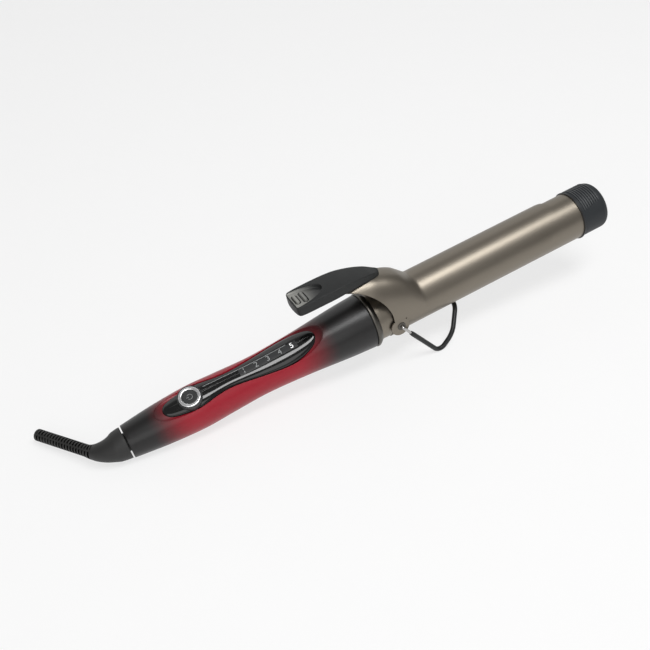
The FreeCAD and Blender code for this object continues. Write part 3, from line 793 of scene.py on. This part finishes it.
# %% Button seat, bezel, ring and cap
BUTTON_X = 44.5
BUTTON_TOP = 14.5 + 0.9
UPRIGHT = CONTROLS @ Matrix.Translation((BUTTON_X, 0, 0)) @ Matrix.Rotation(math.radians(-90), 4, "Y")


def seat_cutter(name):
    return lathe(name, [(9.5, 0.01), (9.5, 8.0), (24.0, 8.0), (24.0, 0.01)], 96, UPRIGHT)


carve(upper_skin, seat_cutter("seat_in_shell"))
shade_by_angle(upper_skin, 24.0)
carve(panel, seat_cutter("seat_in_panel"))
shade_by_angle(panel, 40.0)

bezel_outline = rounded([
    (10.0, 1.62), (10.0, 7.92), (14.35, 7.95), (14.9, 7.75), (14.9, 7.35), (14.3, 7.16), (10.7, 7.16), (10.7, 1.62),
], 0.25)
bezel = lathe("button_bezel_ring", bezel_outline, 96, UPRIGHT, smooth_angle=50.0)
settle(bezel, "iron", bezel_plastic, "dark_bezel", "button_bezel")

ring_outline = rounded([
    (13.0, 4.85), (13.0, 7.05), (14.9, 7.05), (15.45, 6.6), (15.5, 5.9), (15.35, 5.2), (14.9, 4.85),
], 0.45)
chrome_ring = lathe("power_ring", ring_outline, 128, UPRIGHT, smooth_angle=60.0)
settle(chrome_ring, "button", chrome, "chrome_ring", "button_ring")

cap_outline = rounded([
    (7.0, 0.01), (7.0, 1.5), (13.0, 1.5), (13.0, 4.78), (14.75, 4.78), (15.0, 4.4), (14.82, 0.01),
], 0.25)
cap = lathe("power_cap", cap_outline, 96, UPRIGHT, smooth_angle=50.0)
settle(cap, "button", grained_plastic(
    "cap plastic", rgb(0.012, 0.013, 0.013), rgb(0.040, 0.042, 0.044), 0.38, 1500.0, 0.00008,
), "black_plastic", "power_button")


def power_symbol():
    """The usual broken ring and stroke, as two round beads."""
    steps = 40
    arc = []
    for step in range(steps + 1):
        angle = math.radians(40 + 280 * step / steps)
        arc.append(Vector((14.97, 1.75 * math.sin(angle), 1.75 * math.cos(angle))))
    stroke = [Vector((14.97, 0, 0.5 + 0.2 * step)) for step in range(9)]
    for name, path in (("power_symbol_arc", arc), ("power_symbol_stroke", stroke)):
        bead = hose(name, path, lambda row, angle: 0.13, 8, UPRIGHT)
        settle(bead, "button", grey_print, "black_plastic")


power_symbol()

# %% [markdown]
# ## Collar, barrel and tip
# The collar is a thin satin bead over a dark groove. The barrel is a plain
# tube. The cool tip has eight grip ribs over its top that end on a slant, so
# its skin is a turned grid whose radius rises by a rib mask.

# %% Turned metal and the ribbed tip
barrel_start, barrel_end = along_iron("barrel_tube")
groove = lathe("collar_groove", [
    (handle_front - 0.02, 16.0), (handle_front - 0.02, 17.4), (handle_front + 0.9, 17.4), (handle_front + 0.9, 16.0),
])
settle(groove, "iron", dark_plastic, "black_plastic")
collar_outline = rounded([
    (handle_front + 0.8, 16.0), (handle_front + 0.8, 18.3), (handle_front + 1.2, 18.8), (handle_front + 2.2, 18.85),
    (handle_front + 3.3, 18.3), (handle_front + 4.6, 17.2), (handle_front + 5.1, 16.8), (handle_front + 5.1, 16.0),
], 0.5)
collar = lathe("collar_bead", collar_outline, 192, smooth_angle=60.0)
collar_finish = plain_metal("collar coating", rgb(0.10, 0.095, 0.085), rgb(0.14, 0.13, 0.115), 0.38)
settle(collar, "iron", collar_finish, "bronze_metal", "collar_ring")

barrel_outline = [(barrel_start, BARREL_RADIUS - 1)]
barrel_outline += [(barrel_start + (barrel_end - barrel_start) * step / 40, BARREL_RADIUS) for step in range(41)]
barrel_outline += [(barrel_end, BARREL_RADIUS - 1)]
barrel = lathe("barrel", barrel_outline, 192)
settle(barrel, "iron", bronze, "bronze_metal", "barrel_tube")

flange_outline = rounded([
    (barrel_end, 15.0), (barrel_end, 16.9), (barrel_end + 0.9, 16.9), (barrel_end + 0.9, 15.0),
], 0.3)
flange = lathe("tip_collar", flange_outline, 192, smooth_angle=50.0)
settle(flange, "iron", dark_plastic, "black_plastic", "tip_flange")

TIP_RADIUS = BARREL_RADIUS + 0.1
tip_start = barrel_end + 0.9
tip_end = along_iron("cool_tip")[1]


def rib_height(x, angle):
    """Height of the grip ribs at a place; angle is measured from the lever side."""
    index = round((x - tip_start - 2.65) / 1.75)
    if not 0 <= index < 8:
        return 0.0
    offset = x - tip_start - 2.65 - index * 1.75
    limit = 54.0 - 9.0 * offset - 1.2 * index
    turned = abs(math.degrees(math.atan2(math.sin(angle), math.cos(angle))))
    across = 1.0 - ease(0.16, 0.50, abs(offset))
    return 0.60 * across * (1.0 - ease(limit - 3.0, limit, turned))


def ribbed_tip():
    columns = 256
    places = [tip_start + step * 0.11 for step in range(int((tip_end - 5 - tip_start) / 0.11))]
    rows = [(tip_start, 6.0), (tip_start, TIP_RADIUS - 0.3)]
    rows += [(x, TIP_RADIUS) for x in places]
    for step in range(17):
        angle = math.radians(90 * step / 16)
        rows.append((tip_end - 5 + 5 * math.sin(angle), TIP_RADIUS - 5 + 5 * math.cos(angle)))
    rows += [(tip_end, radius) for radius in (8.0, 5.0, 2.0, 0.01)]
    points = []
    for x, radius in rows:
        for column in range(columns):
            angle = 2 * math.pi * column / columns
            grown = radius + (rib_height(x, angle) if radius > TIP_RADIUS - 0.1 else 0.0)
            points.append((x, grown * math.sin(angle), grown * math.cos(angle)))
    faces = grid_faces(len(rows), columns, wrap_columns=True)
    faces.append(tuple(range(columns)))
    return make_object("cool_tip_cap", points, faces, smooth_angle=30.0)


tip = ribbed_tip()
settle(tip, "iron", tip_plastic, "tip_plastic", "cool_tip")
# The rib crests take a paler plastic: a painted highlight along each crest.
tip.data.materials.append(grained_plastic(
    "rib crest painted highlight", rgb(0.055, 0.060, 0.062), rgb(0.095, 0.100, 0.104), 0.34, 2000.0, 0.00003))
to_iron = IRON.inverted()
for polygon in tip.data.polygons:
    middle = to_iron @ polygon.center
    if math.hypot(middle.y, middle.z) > TIP_RADIUS + 0.42:
        polygon.material_index = 1

# %% [markdown]
# ## The clamp
# One pressed sheet: a round plate that hugs the barrel, a neck that rises
# from an arched crease, and a hood whose sides reach down to the hinge. Every
# section is a superellipse, round at the plate and squarer at the hood. The
# surface is a grid, and each column starts at the swept rear edge and ends
# on the rounded tongue, so both edges are smooth curves.

# %% Clamp sheet
HINGE_X = hinge.x
HINGE_Z = hinge.z
PLATE_OUTER = BARREL_RADIUS + 1.15
PLATE_END = barrel_end - 16.3
CLAMP_STATIONS = [
    (HINGE_X - 27.3, 16.6, 35.3, 2.35), (HINGE_X - 18.0, 17.2, 35.0, 2.35), (HINGE_X - 10.0, 17.85, 34.1, 2.4),
    (HINGE_X - 4.0, 17.85, 32.4, 2.45), (HINGE_X + 1.0, 17.85, 30.8, 2.45), (HINGE_X + 6.0, 17.85, 28.6, 2.45),
    (HINGE_X + 10.5, 17.8, 25.9, 2.45), (HINGE_X + 14.5, 17.7, 22.3, 2.35), (HINGE_X + 18.0, 17.5, 18.9, 2.2),
    (HINGE_X + 20.0, 17.25, 17.45, 2.05), (HINGE_X + 22.0, PLATE_OUTER, PLATE_OUTER, 2.0),
    (PLATE_END, PLATE_OUTER, PLATE_OUTER, 2.0),
]
CLAMP_HALF = [(station[0], station[1]) for station in CLAMP_STATIONS]
CLAMP_TOP = [(station[0], station[2]) for station in CLAMP_STATIONS]
CLAMP_SQUARE = [(station[0], station[3]) for station in CLAMP_STATIONS]


def level_through(stations, value):
    """Like smooth_through, but the curve never rises above or falls below its stations."""
    if value <= stations[0][0]:
        return stations[0][1]
    slopes = [0.0]
    secants = [(b[1] - a[1]) / (b[0] - a[0]) for a, b in zip(stations, stations[1:])]
    for before, after in zip(secants, secants[1:]):
        slopes.append(2 * before * after / (before + after) if before * after > 0 else 0.0)
    slopes.append(0.0)
    for index in range(len(stations) - 1):
        x0, y0 = stations[index]
        x1, y1 = stations[index + 1]
        if value <= x1:
            run = x1 - x0
            t = (value - x0) / run
            return (
                (2 * t ** 3 - 3 * t ** 2 + 1) * y0 + (t ** 3 - 2 * t ** 2 + t) * run * slopes[index]
                + (3 * t ** 2 - 2 * t ** 3) * y1 + (t ** 3 - t ** 2) * run * slopes[index + 1]
            )
    return stations[-1][1]


def clamp_point(x, turn, inset=0.0):
    """A point of the clamp's arch at a place along it; turn goes from 0 to 1 over the arch."""
    half = level_through(CLAMP_HALF, x) - inset
    top = level_through(CLAMP_TOP, x) - inset
    power = 2.0 / level_through(CLAMP_SQUARE, x)
    angle = math.pi * turn
    across = math.copysign(abs(math.cos(angle)) ** power, math.cos(angle))
    return Vector((x, half * across, top * max(math.sin(angle), 0.0) ** power))


def arc_through(a, b, c):
    """Centre and radius of the circle through three flat points."""
    d = 2 * (a[0] * (b[1] - c[1]) + b[0] * (c[1] - a[1]) + c[0] * (a[1] - b[1]))
    squares = [p[0] ** 2 + p[1] ** 2 for p in (a, b, c)]
    x = (squares[0] * (b[1] - c[1]) + squares[1] * (c[1] - a[1]) + squares[2] * (a[1] - b[1])) / d
    y = (squares[0] * (c[0] - b[0]) + squares[1] * (a[0] - c[0]) + squares[2] * (b[0] - a[0])) / d
    return x, y, math.dist((x, y), a)


REAR_ARC = arc_through(
    (HINGE_X - 3.9, HINGE_Z + 11.0), (HINGE_X - 12.3, 25.5), (HINGE_X - 27.3, 33.5))


def rear_edge_x(z):
    """Where the swept rear edge is at a height."""
    centre_x, centre_z, radius = REAR_ARC
    if z <= HINGE_Z + 11.0:
        return HINGE_X - 3.9
    if z >= 33.5:
        return HINGE_X - 27.3
    return centre_x + math.sqrt(max(radius ** 2 - (z - centre_z) ** 2, 0.0))


def clamp_start(turn):
    """Place along the iron where this column of the clamp meets its rear edge."""
    low = HINGE_X - 27.3
    high = HINGE_X - 3.9
    for _ in range(40):
        middle = (low + high) / 2
        if rear_edge_x(clamp_point(middle, turn).z) > middle:
            low = middle
        else:
            high = middle
    return (low + high) / 2


def clamp_front(y):
    """Place along the iron where the rounded tongue ends, at a distance from its middle."""
    round_x = PLATE_END - 21.0
    centre_x, _, radius = arc_through((round_x, -19.15), (PLATE_END, 0.0), (round_x, 19.15))
    return centre_x + math.sqrt(max(radius ** 2 - y ** 2, 0.0))


def lowest_turn(x):
    """Turn at which the arch meets the straight lower edge of the clamp."""
    low = 0.0
    high = 0.3
    for _ in range(40):
        middle = (low + high) / 2
        if clamp_point(x, middle).z < 2.3:
            low = middle
        else:
            high = middle
    return low


def clamp_sheet():
    """The sheet as one closed skin: outside, edge, inside, edge."""
    rows = 240
    columns = 121
    sheet = 0.85
    shares = [column / (columns - 1) for column in range(columns)]
    starts = [clamp_start(0.02 + 0.96 * share) for share in shares]
    ends = [clamp_front(clamp_point(250.0, 0.02 + 0.96 * share).y) for share in shares]
    lowest = [(150.0 + step, lowest_turn(150.0 + step)) for step in range(170)]
    points = []
    for row in range(rows + 1):
        outer = []
        inner = []
        for share, start, end in zip(shares, starts, ends):
            x = start + (end - start) * row / rows
            limit = level_through(lowest, x)
            turn = limit + (1 - 2 * limit) * share
            outer.append(clamp_point(x, turn))
            inner.append(clamp_point(x, turn, sheet))
        points += outer + inner[::-1]
    ring = 2 * columns
    faces = grid_faces(rows + 1, ring, wrap_columns=True)
    for first in (0, rows * ring):
        for column in range(columns - 1):
            faces.append((
                first + column, first + column + 1,
                first + ring - 2 - column, first + ring - 1 - column,
            ))
    return make_object("clamp_sheet", points, faces, smooth_angle=38.0)


clamp = clamp_sheet()
settle(clamp, "clamp", bronze_clamp, "bronze_metal", "clamp_plate")


def ear(side):
    """Round ear under the hood's side, with the hole for its rivet."""
    steps = 72
    ear_x = HINGE_X - 0.8
    outline = []
    for step in range(steps):
        angle = 2 * math.pi * step / steps
        x = ear_x + 6.4 * math.cos(angle)
        z = min(HINGE_Z + 6.4 * math.sin(angle), 2.6)
        outline.append((x, z))
    hole = []
    for step in range(steps):
        angle = 2 * math.pi * step / steps
        hole.append((HINGE_X + 1.95 * math.cos(angle), HINGE_Z + 1.95 * math.sin(angle)))
    points = []
    for y, rings in ((17.86, (outline, hole)), (16.99, (hole, outline))):
        for ring in rings:
            points += [(x, side * y, z) for x, z in ring]
    faces = grid_faces(4, steps, wrap_rows=True, wrap_columns=True)
    name = "clamp_ear_near" if side < 0 else "clamp_ear_far"
    return make_object(name, points, faces, smooth_angle=30.0)


for side in (-1, 1):
    settle(ear(side), "clamp", bronze_clamp, "bronze_metal")

# %% Hinge rivets
for side in (-1, 1):
    sideways = IRON @ Matrix.Translation((HINGE_X, 0, HINGE_Z)) @ Matrix.Rotation(math.radians(90 * side), 4, "Z")
    eyelet_outline = rounded([
        (16.05, 1.0), (16.05, 1.88), (17.9, 1.88), (17.9, 2.9), (18.2, 2.85), (18.42, 2.0), (18.3, 1.0),
    ], 0.25)
    eyelet = lathe("hinge_eyelet_near" if side < 0 else "hinge_eyelet_far", eyelet_outline, 64, sideways)
    settle(eyelet, "iron", collar_finish, "bright_steel", *(["hinge_rivets"] if side < 0 else []))

# %% [markdown]
# ## The thumb lever
# A moulded plastic lever, glued and screwed over the clamp's tongue. Seen
# from above it is a long leaf. Its rear has a thumb scoop that comes to a
# point, with two raised bars. It's a loft of rounded sections, and the top
# carries the scoop and the bars as a height map.

# %% Lever loft with scoop and bars
LEVER_REAR = HINGE_X - 61.2
LEVER_TIP = HINGE_X - 0.6
PLAN = [
    (LEVER_REAR, 0.3), (LEVER_REAR + 0.2, 4.5), (LEVER_REAR + 0.7, 7.4), (LEVER_REAR + 1.6, 8.9),
    (LEVER_REAR + 3.2, 9.6), (LEVER_REAR + 8.0, 9.9), (LEVER_REAR + 24.0, 9.9), (LEVER_TIP - 24.0, 9.0),
    (LEVER_TIP - 13.0, 7.2), (LEVER_TIP - 5.5, 4.9), (LEVER_TIP - 2.0, 3.2), (LEVER_TIP - 0.5, 1.9), (LEVER_TIP, 0.3),
]
TOP_LINE = [
    (LEVER_REAR, 41.9), (LEVER_REAR + 2.0, 42.3), (LEVER_REAR + 16.0, 42.6), (LEVER_REAR + 32.0, 42.2),
    (LEVER_TIP - 18.0, 40.4), (LEVER_TIP - 8.0, 37.6), (LEVER_TIP, 34.6),
]
BOTTOM_LINE = [
    (LEVER_REAR, 35.5), (LEVER_REAR + 2.0, 35.2), (LEVER_REAR + 35.0, 35.1), (LEVER_REAR + 45.0, 34.6),
    (LEVER_TIP - 8.0, 32.9), (LEVER_TIP, 31.2),
]


def scoop_share(x, y):
    """1 inside the bullet-shaped thumb scoop, 0 outside it."""
    reach = (x - LEVER_REAR - 0.9) / 21.0
    if reach >= 1.0 or reach <= 0.0:
        return 0.0
    half = 8.7 * math.sqrt(max(1.0 - reach ** 2.1, 0.0))
    return ease(0.0, 1.3, half - abs(y)) * ease(0.0, 0.7, x - LEVER_REAR - 0.9)


def bar_and_groove(x, y):
    """How much a place belongs to a raised bar, and to the groove round it."""
    bar = 0.0
    groove = 0.0
    for bar_x, bar_half in ((LEVER_REAR + 4.0, 4.2), (LEVER_REAR + 9.0, 4.8)):
        along = (x - bar_x) / 1.2
        across = max(abs(y) - bar_half + 1.2, 0.0) / 1.2
        distance = math.hypot(along, across)
        bar = max(bar, 1.0 - ease(0.6, 1.05, distance))
        groove = max(groove, ease(0.9, 1.15, distance) * (1.0 - ease(1.4, 1.8, distance)))
    return bar, groove


def scoop_depth(x, y):
    """How far the thumb scoop and the grooves round its bars lie under the top."""
    reach = (x - LEVER_REAR - 0.9) / 21.0
    bar, groove = bar_and_groove(x, y)
    depth = 0.9 + 1.5 * ease(0.0, 0.8, reach)
    return scoop_share(x, y) * (depth - 0.9 * bar + 0.6 * groove)


def lever_loft():
    rows = 300
    top_columns = 121
    side_columns = 12
    points = []
    ring = 0
    for row in range(rows + 1):
        t = row / rows
        x = LEVER_REAR + (LEVER_TIP - LEVER_REAR) * (t - math.sin(2 * math.pi * t) * 0.12)
        half = level_through(PLAN, x)
        top = level_through(TOP_LINE, x)
        bottom = min(level_through(BOTTOM_LINE, x), top - 0.6)
        edge = min(0.55, half * 0.45, (top - bottom) * 0.4)
        section = []
        for column in range(top_columns):
            y = -(half - edge) + 2 * (half - edge) * column / (top_columns - 1)
            crown = 0.5 * (y / 9.9) ** 2
            section.append((x, y, top - crown - scoop_depth(x, y)))
        for step in range(1, side_columns + 1):
            angle = math.radians(90 * step / side_columns)
            drop = edge * (1 - math.cos(angle))
            section.append((x, half - edge + edge * math.sin(angle), top - 0.5 * (half / 9.9) ** 2 - drop))
        foot = bottom + 0.5 * edge
        section.append((x, half, (top + bottom) / 2))
        section.append((x, half, foot))
        section.append((x, half - 0.5 * edge, bottom))
        section.append((x, -half + 0.5 * edge, bottom))
        section.append((x, -half, foot))
        section.append((x, -half, (top + bottom) / 2))
        for step in range(side_columns, 0, -1):
            angle = math.radians(90 * step / side_columns)
            drop = edge * (1 - math.cos(angle))
            section.append((x, -(half - edge + edge * math.sin(angle)), top - 0.5 * (half / 9.9) ** 2 - drop))
        ring = len(section)
        points += section
    faces = grid_faces(rows + 1, ring, wrap_columns=True)
    faces.append(tuple(range(ring)))
    faces.append(tuple(range(rows * ring, (rows + 1) * ring)))
    return make_object("thumb_rest", points, faces, smooth_angle=35.0)


def worn_scoop(name):
    """Where a thumb rests the grain is polished; its colour is a painted highlight, pale at the rear and fading to
    dark towards the front.
    """
    shader = Shader(name, IOR=1.45)
    reach = shader.measure(axis, IRON @ Vector((LEVER_REAR, 0.0, 40.0)))
    wear = shader.noise(260.0, 3.0)
    shade = shader.step(reach + (wear - 0.5) * 3.0, 2.0, 20.0)
    shader.set(
        Base_Color=shader.mix(shade, rgb(0.27, 0.27, 0.25), rgb(0.020, 0.021, 0.021)),
        Roughness=0.30 + wear * 0.08,
    )
    return shader.material


lever = lever_loft()
settle(lever, "clamp", lever_plastic, "lever_plastic", "thumb_lever")
# Scoop faces, except the grooves round the bars, take the painted highlight.
lever.data.materials.append(worn_scoop("thumb scoop painted highlight"))
for polygon in lever.data.polygons:
    middle = to_iron @ polygon.center
    groove = bar_and_groove(middle.x, middle.y)[1]
    if middle.z > 37.0 and groove < 0.5 and scoop_share(middle.x, middle.y) > 0.3:
        polygon.material_index = 1

# %% [markdown]
# ## The stand
# A bent steel wire hangs from the hollow rivets, and a soft sleeve covers it
# from just below the hinge. The path is straight runs and arcs, as a wire
# bender makes them.

# %% Stand wire and sleeve
LEG_Y = BARREL_RADIUS + 4.0
FOOT = Vector((HINGE_X + 22.1, 0, HINGE_Z - 34.4))
APEX_Z = -(BARREL_RADIUS + 1.9)
lift = math.asin((APEX_Z - FOOT.z) / 30.6)


def stand_corners(start):
    half = [start, Vector((FOOT.x, -LEG_Y, FOOT.z))]
    for reach, y in ((15.0, LEG_Y - 0.3), (30.6, 6.5)):
        half.append(Vector((FOOT.x + reach * math.cos(lift), -y, FOOT.z + reach * math.sin(lift))))
    return half


leg_top = Vector((HINGE_X, -LEG_Y, HINGE_Z))
leg_way = (Vector((FOOT.x, -LEG_Y, FOOT.z)) - leg_top).normalized()
half_way = stand_corners(leg_top + leg_way * 8.2)
other_way = [Vector((p.x, -p.y, p.z)) for p in reversed(half_way)]
sleeve_route = rounded_route(half_way + other_way, [5.0, 16.0, 11.0, 11.0, 16.0, 5.0], spacing=2.0)
sleeve_rows = len(sleeve_route)


def sleeve_radius(row, angle):
    end = min(row, sleeve_rows - 1 - row)
    return 1.6 if end > 0 else 1.35


settle(
    hose("stand_loop_sleeve", sleeve_route, sleeve_radius, 28, smooth_angle=70.0),
    "stand", sleeve_rubber, "soft_black", "stand_sleeve")

for side in (-1, 1):
    route = rounded_route([
        Vector((HINGE_X, side * 16.15, HINGE_Z)),
        Vector((HINGE_X, side * LEG_Y, HINGE_Z)),
        Vector((leg_top.x, side * LEG_Y, leg_top.z)) + leg_way * 10.5,
    ], [1.4], steps=10, spacing=1.0)
    wire = hose("stand_wire_near" if side < 0 else "stand_wire_far", route, lambda row, angle: 0.92, 20)
    settle(wire, "stand", bright_steel, "bright_steel", *(["stand_wire"] if side < 0 else []))

# %% [markdown]
# ## The swivel boot and its ribbed sleeve
# Soft rubber. The boot narrows round a bend and becomes the sleeve that keeps
# the cord from kinking. The sleeve has four rows of slots, and each row is
# shifted by half a step against its neighbours, so rings and bridges stay.
# The sleeve ends in an open round mouth.

# %% Boot and sleeve
BEND_RADIUS = 20.0
BEND = math.radians(56.0)
SLEEVE_RADIUS = 3.85
BORE = 2.9
BOOT_START = -0.9
tangent = BEND_RADIUS * math.tan(BEND / 2)
corner = Vector((BOOT_START - 6.0 - tangent, 0, 0))
away = Vector((-math.cos(BEND), math.sin(BEND), 0))
boot_route = rounded_route(
    [Vector((BOOT_START, 0, 0)), corner, corner + away * (tangent + 42.0)], [BEND_RADIUS], steps=110, spacing=0.13)
boot_steps = [0.0]
for here, there in zip(boot_route, boot_route[1:]):
    boot_steps.append(boot_steps[-1] + (there - here).length)
BOOT_LENGTH = boot_steps[-1]
BEND_END = 6.0 + BEND_RADIUS * BEND
BOOT_RADII = [
    (0.0, 10.3), (6.0, 9.55), (9.9, 8.1), (13.8, 6.9), (17.7, 5.8), (21.6, 4.75), (BEND_END + 1.5, SLEEVE_RADIUS),
    (BOOT_LENGTH, SLEEVE_RADIUS),
]
SLOT_PITCH = 2.35
SLOTS_START = BEND_END - 4.5


def slot_depth(distance, angle):
    """Depth of the sleeve's slots at a distance along it and an angle round it."""
    if distance < SLOTS_START or distance > BOOT_LENGTH - 2.0:
        return 0.0
    quarter = (angle / (math.pi / 2) + 0.36) % 4
    row = int(quarter)
    from_middle = abs(quarter - row - 0.5)
    step = ((distance - SLOTS_START) / SLOT_PITCH + 0.5 * (row % 2)) % 1.0
    across = ease(0.24, 0.34, step) * (1.0 - ease(0.70, 0.80, step))
    return 1.3 * across * (1.0 - ease(0.37, 0.43, from_middle))


def boot_skin():
    columns = 96
    points = []
    rows = 0
    places = frames_along(boot_route)

    def add_row(place, side, up, radius_at):
        for column in range(columns):
            angle = 2 * math.pi * column / columns
            radius = radius_at(angle)
            points.append(place + side * (radius * math.cos(angle)) + up * (radius * math.sin(angle)))
        return 1

    first_place, first_side, first_up = places[0]
    rows += add_row(first_place, first_side, first_up, lambda angle: 6.1)
    rows += add_row(first_place, first_side, first_up, lambda angle: 10.1)
    for distance, (place, side, up) in zip(boot_steps[1:], places[1:]):
        end_round = max(distance - (BOOT_LENGTH - 0.8), 0.0) / 0.8
        radius = level_through(BOOT_RADII, distance) - 0.5 * end_round ** 2
        rows += add_row(place, side, up, lambda angle, r=radius, d=distance: r - slot_depth(d, angle))
    place, side, up = places[-1]
    rows += add_row(place, side, up, lambda angle: BORE)
    for back in (1.0, 4.0, 9.0):
        rows += add_row(place - away * back, side, up, lambda angle: BORE)
    faces = grid_faces(rows, columns, wrap_columns=True)
    faces.append(tuple(range(columns)))
    faces.append(tuple(range((rows - 1) * columns, rows * columns)))
    return make_object("boot_and_sleeve", points, faces, smooth_angle=42.0)


boot = boot_skin()
settle(boot, "cord_swivel", boot_rubber, "soft_black", "swivel_boot")
# The slot floors take a near-black rubber: painted shade inside the slots.
boot.data.materials.append(grained_plastic(
    "slot painted shade rubber", rgb(0.0015, 0.0015, 0.0015), rgb(0.003, 0.003, 0.003), 0.75, 1800.0, 0.00003, 1.2))
line_of_sleeve = KDTree(len(boot_route))
for index, place in enumerate(boot_route):
    line_of_sleeve.insert(place, index)
line_of_sleeve.balance()
for polygon in boot.data.polygons:
    _, index, radius = line_of_sleeve.find(to_iron @ polygon.center)
    if boot_steps[index] > SLOTS_START and 0.4 < level_through(BOOT_RADII, boot_steps[index]) - radius < 1.6:
        polygon.material_index = 1

# %% [markdown]
# ## Pieces that stay as they are
# The inner pieces and a few small outer ones keep their CAD shape. They only
# get the finish of their slot.

# %% Finishes for the CAD pieces that are still shown
SLOT_FINISH = {
    "painted_shell": paint, "screw_steel": dark_steel, "gloss_black": gloss_black, "smoked_lens": window_tint,
    "dark_bezel": bezel_plastic, "spring_steel": dark_steel, "board_green": board_green,
    "black_plastic": dark_plastic, "led_white": ceramic, "contact_brass": brass, "lead_sleeve": lead_sleeve,
    "core_aluminium": core_metal, "heater_ceramic": ceramic, "bronze_metal": bronze, "bright_steel": bright_steel,
    "soft_black": sleeve_rubber, "chrome_ring": chrome, "tip_plastic": tip_plastic, "lever_plastic": lever_plastic,
}
for name, node in frame["nodes"].items():
    if not node.hide_render:
        slots = [material.name.split(".")[0] for material in node.data.materials if material]
        node.data.materials.clear()
        node.data.materials.append(SLOT_FINISH.get(slots[0] if slots else "", dark_plastic))
        print("CAD piece", name, "takes", slots)

# %% [markdown]
# ## Floor, light and camera
# A white sweep, soft large lamps, and the camera where the photographer stood:
# above and to the left, looking down the iron.

# %% Floor and backdrop
box_low, box_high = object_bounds()


def white_stage(name):
    shader = Shader(name, Roughness=0.9)
    weave = shader.noise(20.0, 2.0)
    shader.set(Base_Color=shader.mix(weave, rgb(0.90, 0.90, 0.90), rgb(0.93, 0.93, 0.93)))
    ray_kind = shader.tree.nodes.new("ShaderNodeLightPath")
    seen = Socket(shader, ray_kind.outputs["Is Camera Ray"])
    mirrored = Socket(shader, ray_kind.outputs["Is Glossy Ray"])
    through = Socket(shader, ray_kind.outputs["Is Transmission Ray"])
    glow = shader.node("ShaderNodeEmission", None, {"Color": rgb(1.0, 1.0, 1.0), "Strength": 1.0})
    share = (seen + mirrored + through) * 0.70
    lit = Socket(shader, shader.surface.outputs[0])
    both = shader.node("ShaderNodeMixShader", None, {0: share, 1: lit, 2: glow})
    shader.tree.links.new(both.socket, shader.tree.nodes["Material Output"].inputs["Surface"])
    return shader.material


def sweep():
    """A floor that curves up far behind the object."""
    points = []
    columns = 40
    line = [(-1.5 + step * 0.15, 0.0) for step in range(20)]
    for step in range(1, 17):
        angle = math.radians(90 * step / 16)
        line.append((1.35 + 0.8 * math.sin(angle), 0.8 - 0.8 * math.cos(angle)))
    line += [(2.15, 0.8 + 0.25 * step) for step in range(1, 8)]
    for y, z in line:
        for column in range(columns):
            points.append((-3.0 + 6.0 * column / (columns - 1), y, z))
    mesh = bpy.data.meshes.new("sweep")
    mesh.from_pydata(points, [], grid_faces(len(line), columns))
    for polygon in mesh.polygons:
        polygon.use_smooth = True
    piece = bpy.data.objects.new("sweep", mesh)
    bpy.context.scene.collection.objects.link(piece)
    piece.data.materials.append(white_stage("white floor"))
    return piece


sweep()

# %% Lamps and world
world = bpy.data.worlds.new("studio")
bpy.context.scene.world = world
world.use_nodes = True
world.node_tree.nodes["Background"].inputs["Color"].default_value = rgb(1.0, 1.0, 1.0)
world.node_tree.nodes["Background"].inputs["Strength"].default_value = 0.30
target = Vector((0.0, 0.0, 0.03))


def lamp(name, place, width, height, power):
    light = bpy.data.lights.new(name, "AREA")
    light.shape = "RECTANGLE"
    light.size = width
    light.size_y = height
    light.energy = power
    holder = bpy.data.objects.new(name, light)
    bpy.context.scene.collection.objects.link(holder)
    holder.location = place
    holder.rotation_euler = (target - Vector(place)).to_track_quat("-Z", "Y").to_euler()
    return holder


lamp("key lamp", (0.20, -0.44, 1.20), 0.9, 0.34, 9.5)
lamp("fill lamp", (-0.6, -1.3, 0.7), 1.6, 0.9, 7.0)
lamp("back lamp", (0.2, 1.2, 1.3), 1.6, 0.9, 1.0)

# %% Camera
camera_data = bpy.data.cameras.new("camera")
camera_data.lens = 55.63
camera_data.sensor_width = 36.0
camera = bpy.data.objects.new("camera", camera_data)
bpy.context.scene.collection.objects.link(camera)
forward = Vector((0.30315, 0.72517, -0.61825)).normalized()
right = Vector((0.88708, -0.45175, -0.09491)).normalized()
above = right.cross(forward).normalized()
camera.matrix_world = Matrix.Translation((-0.20393, -0.47146, 0.43151)) @ Matrix((
    (right.x, above.x, -forward.x, 0),
    (right.y, above.y, -forward.y, 0),
    (right.z, above.z, -forward.z, 0),
    (0, 0, 0, 1),
))
bpy.context.scene.camera = camera
bpy.context.scene.view_settings.view_transform = "Standard"
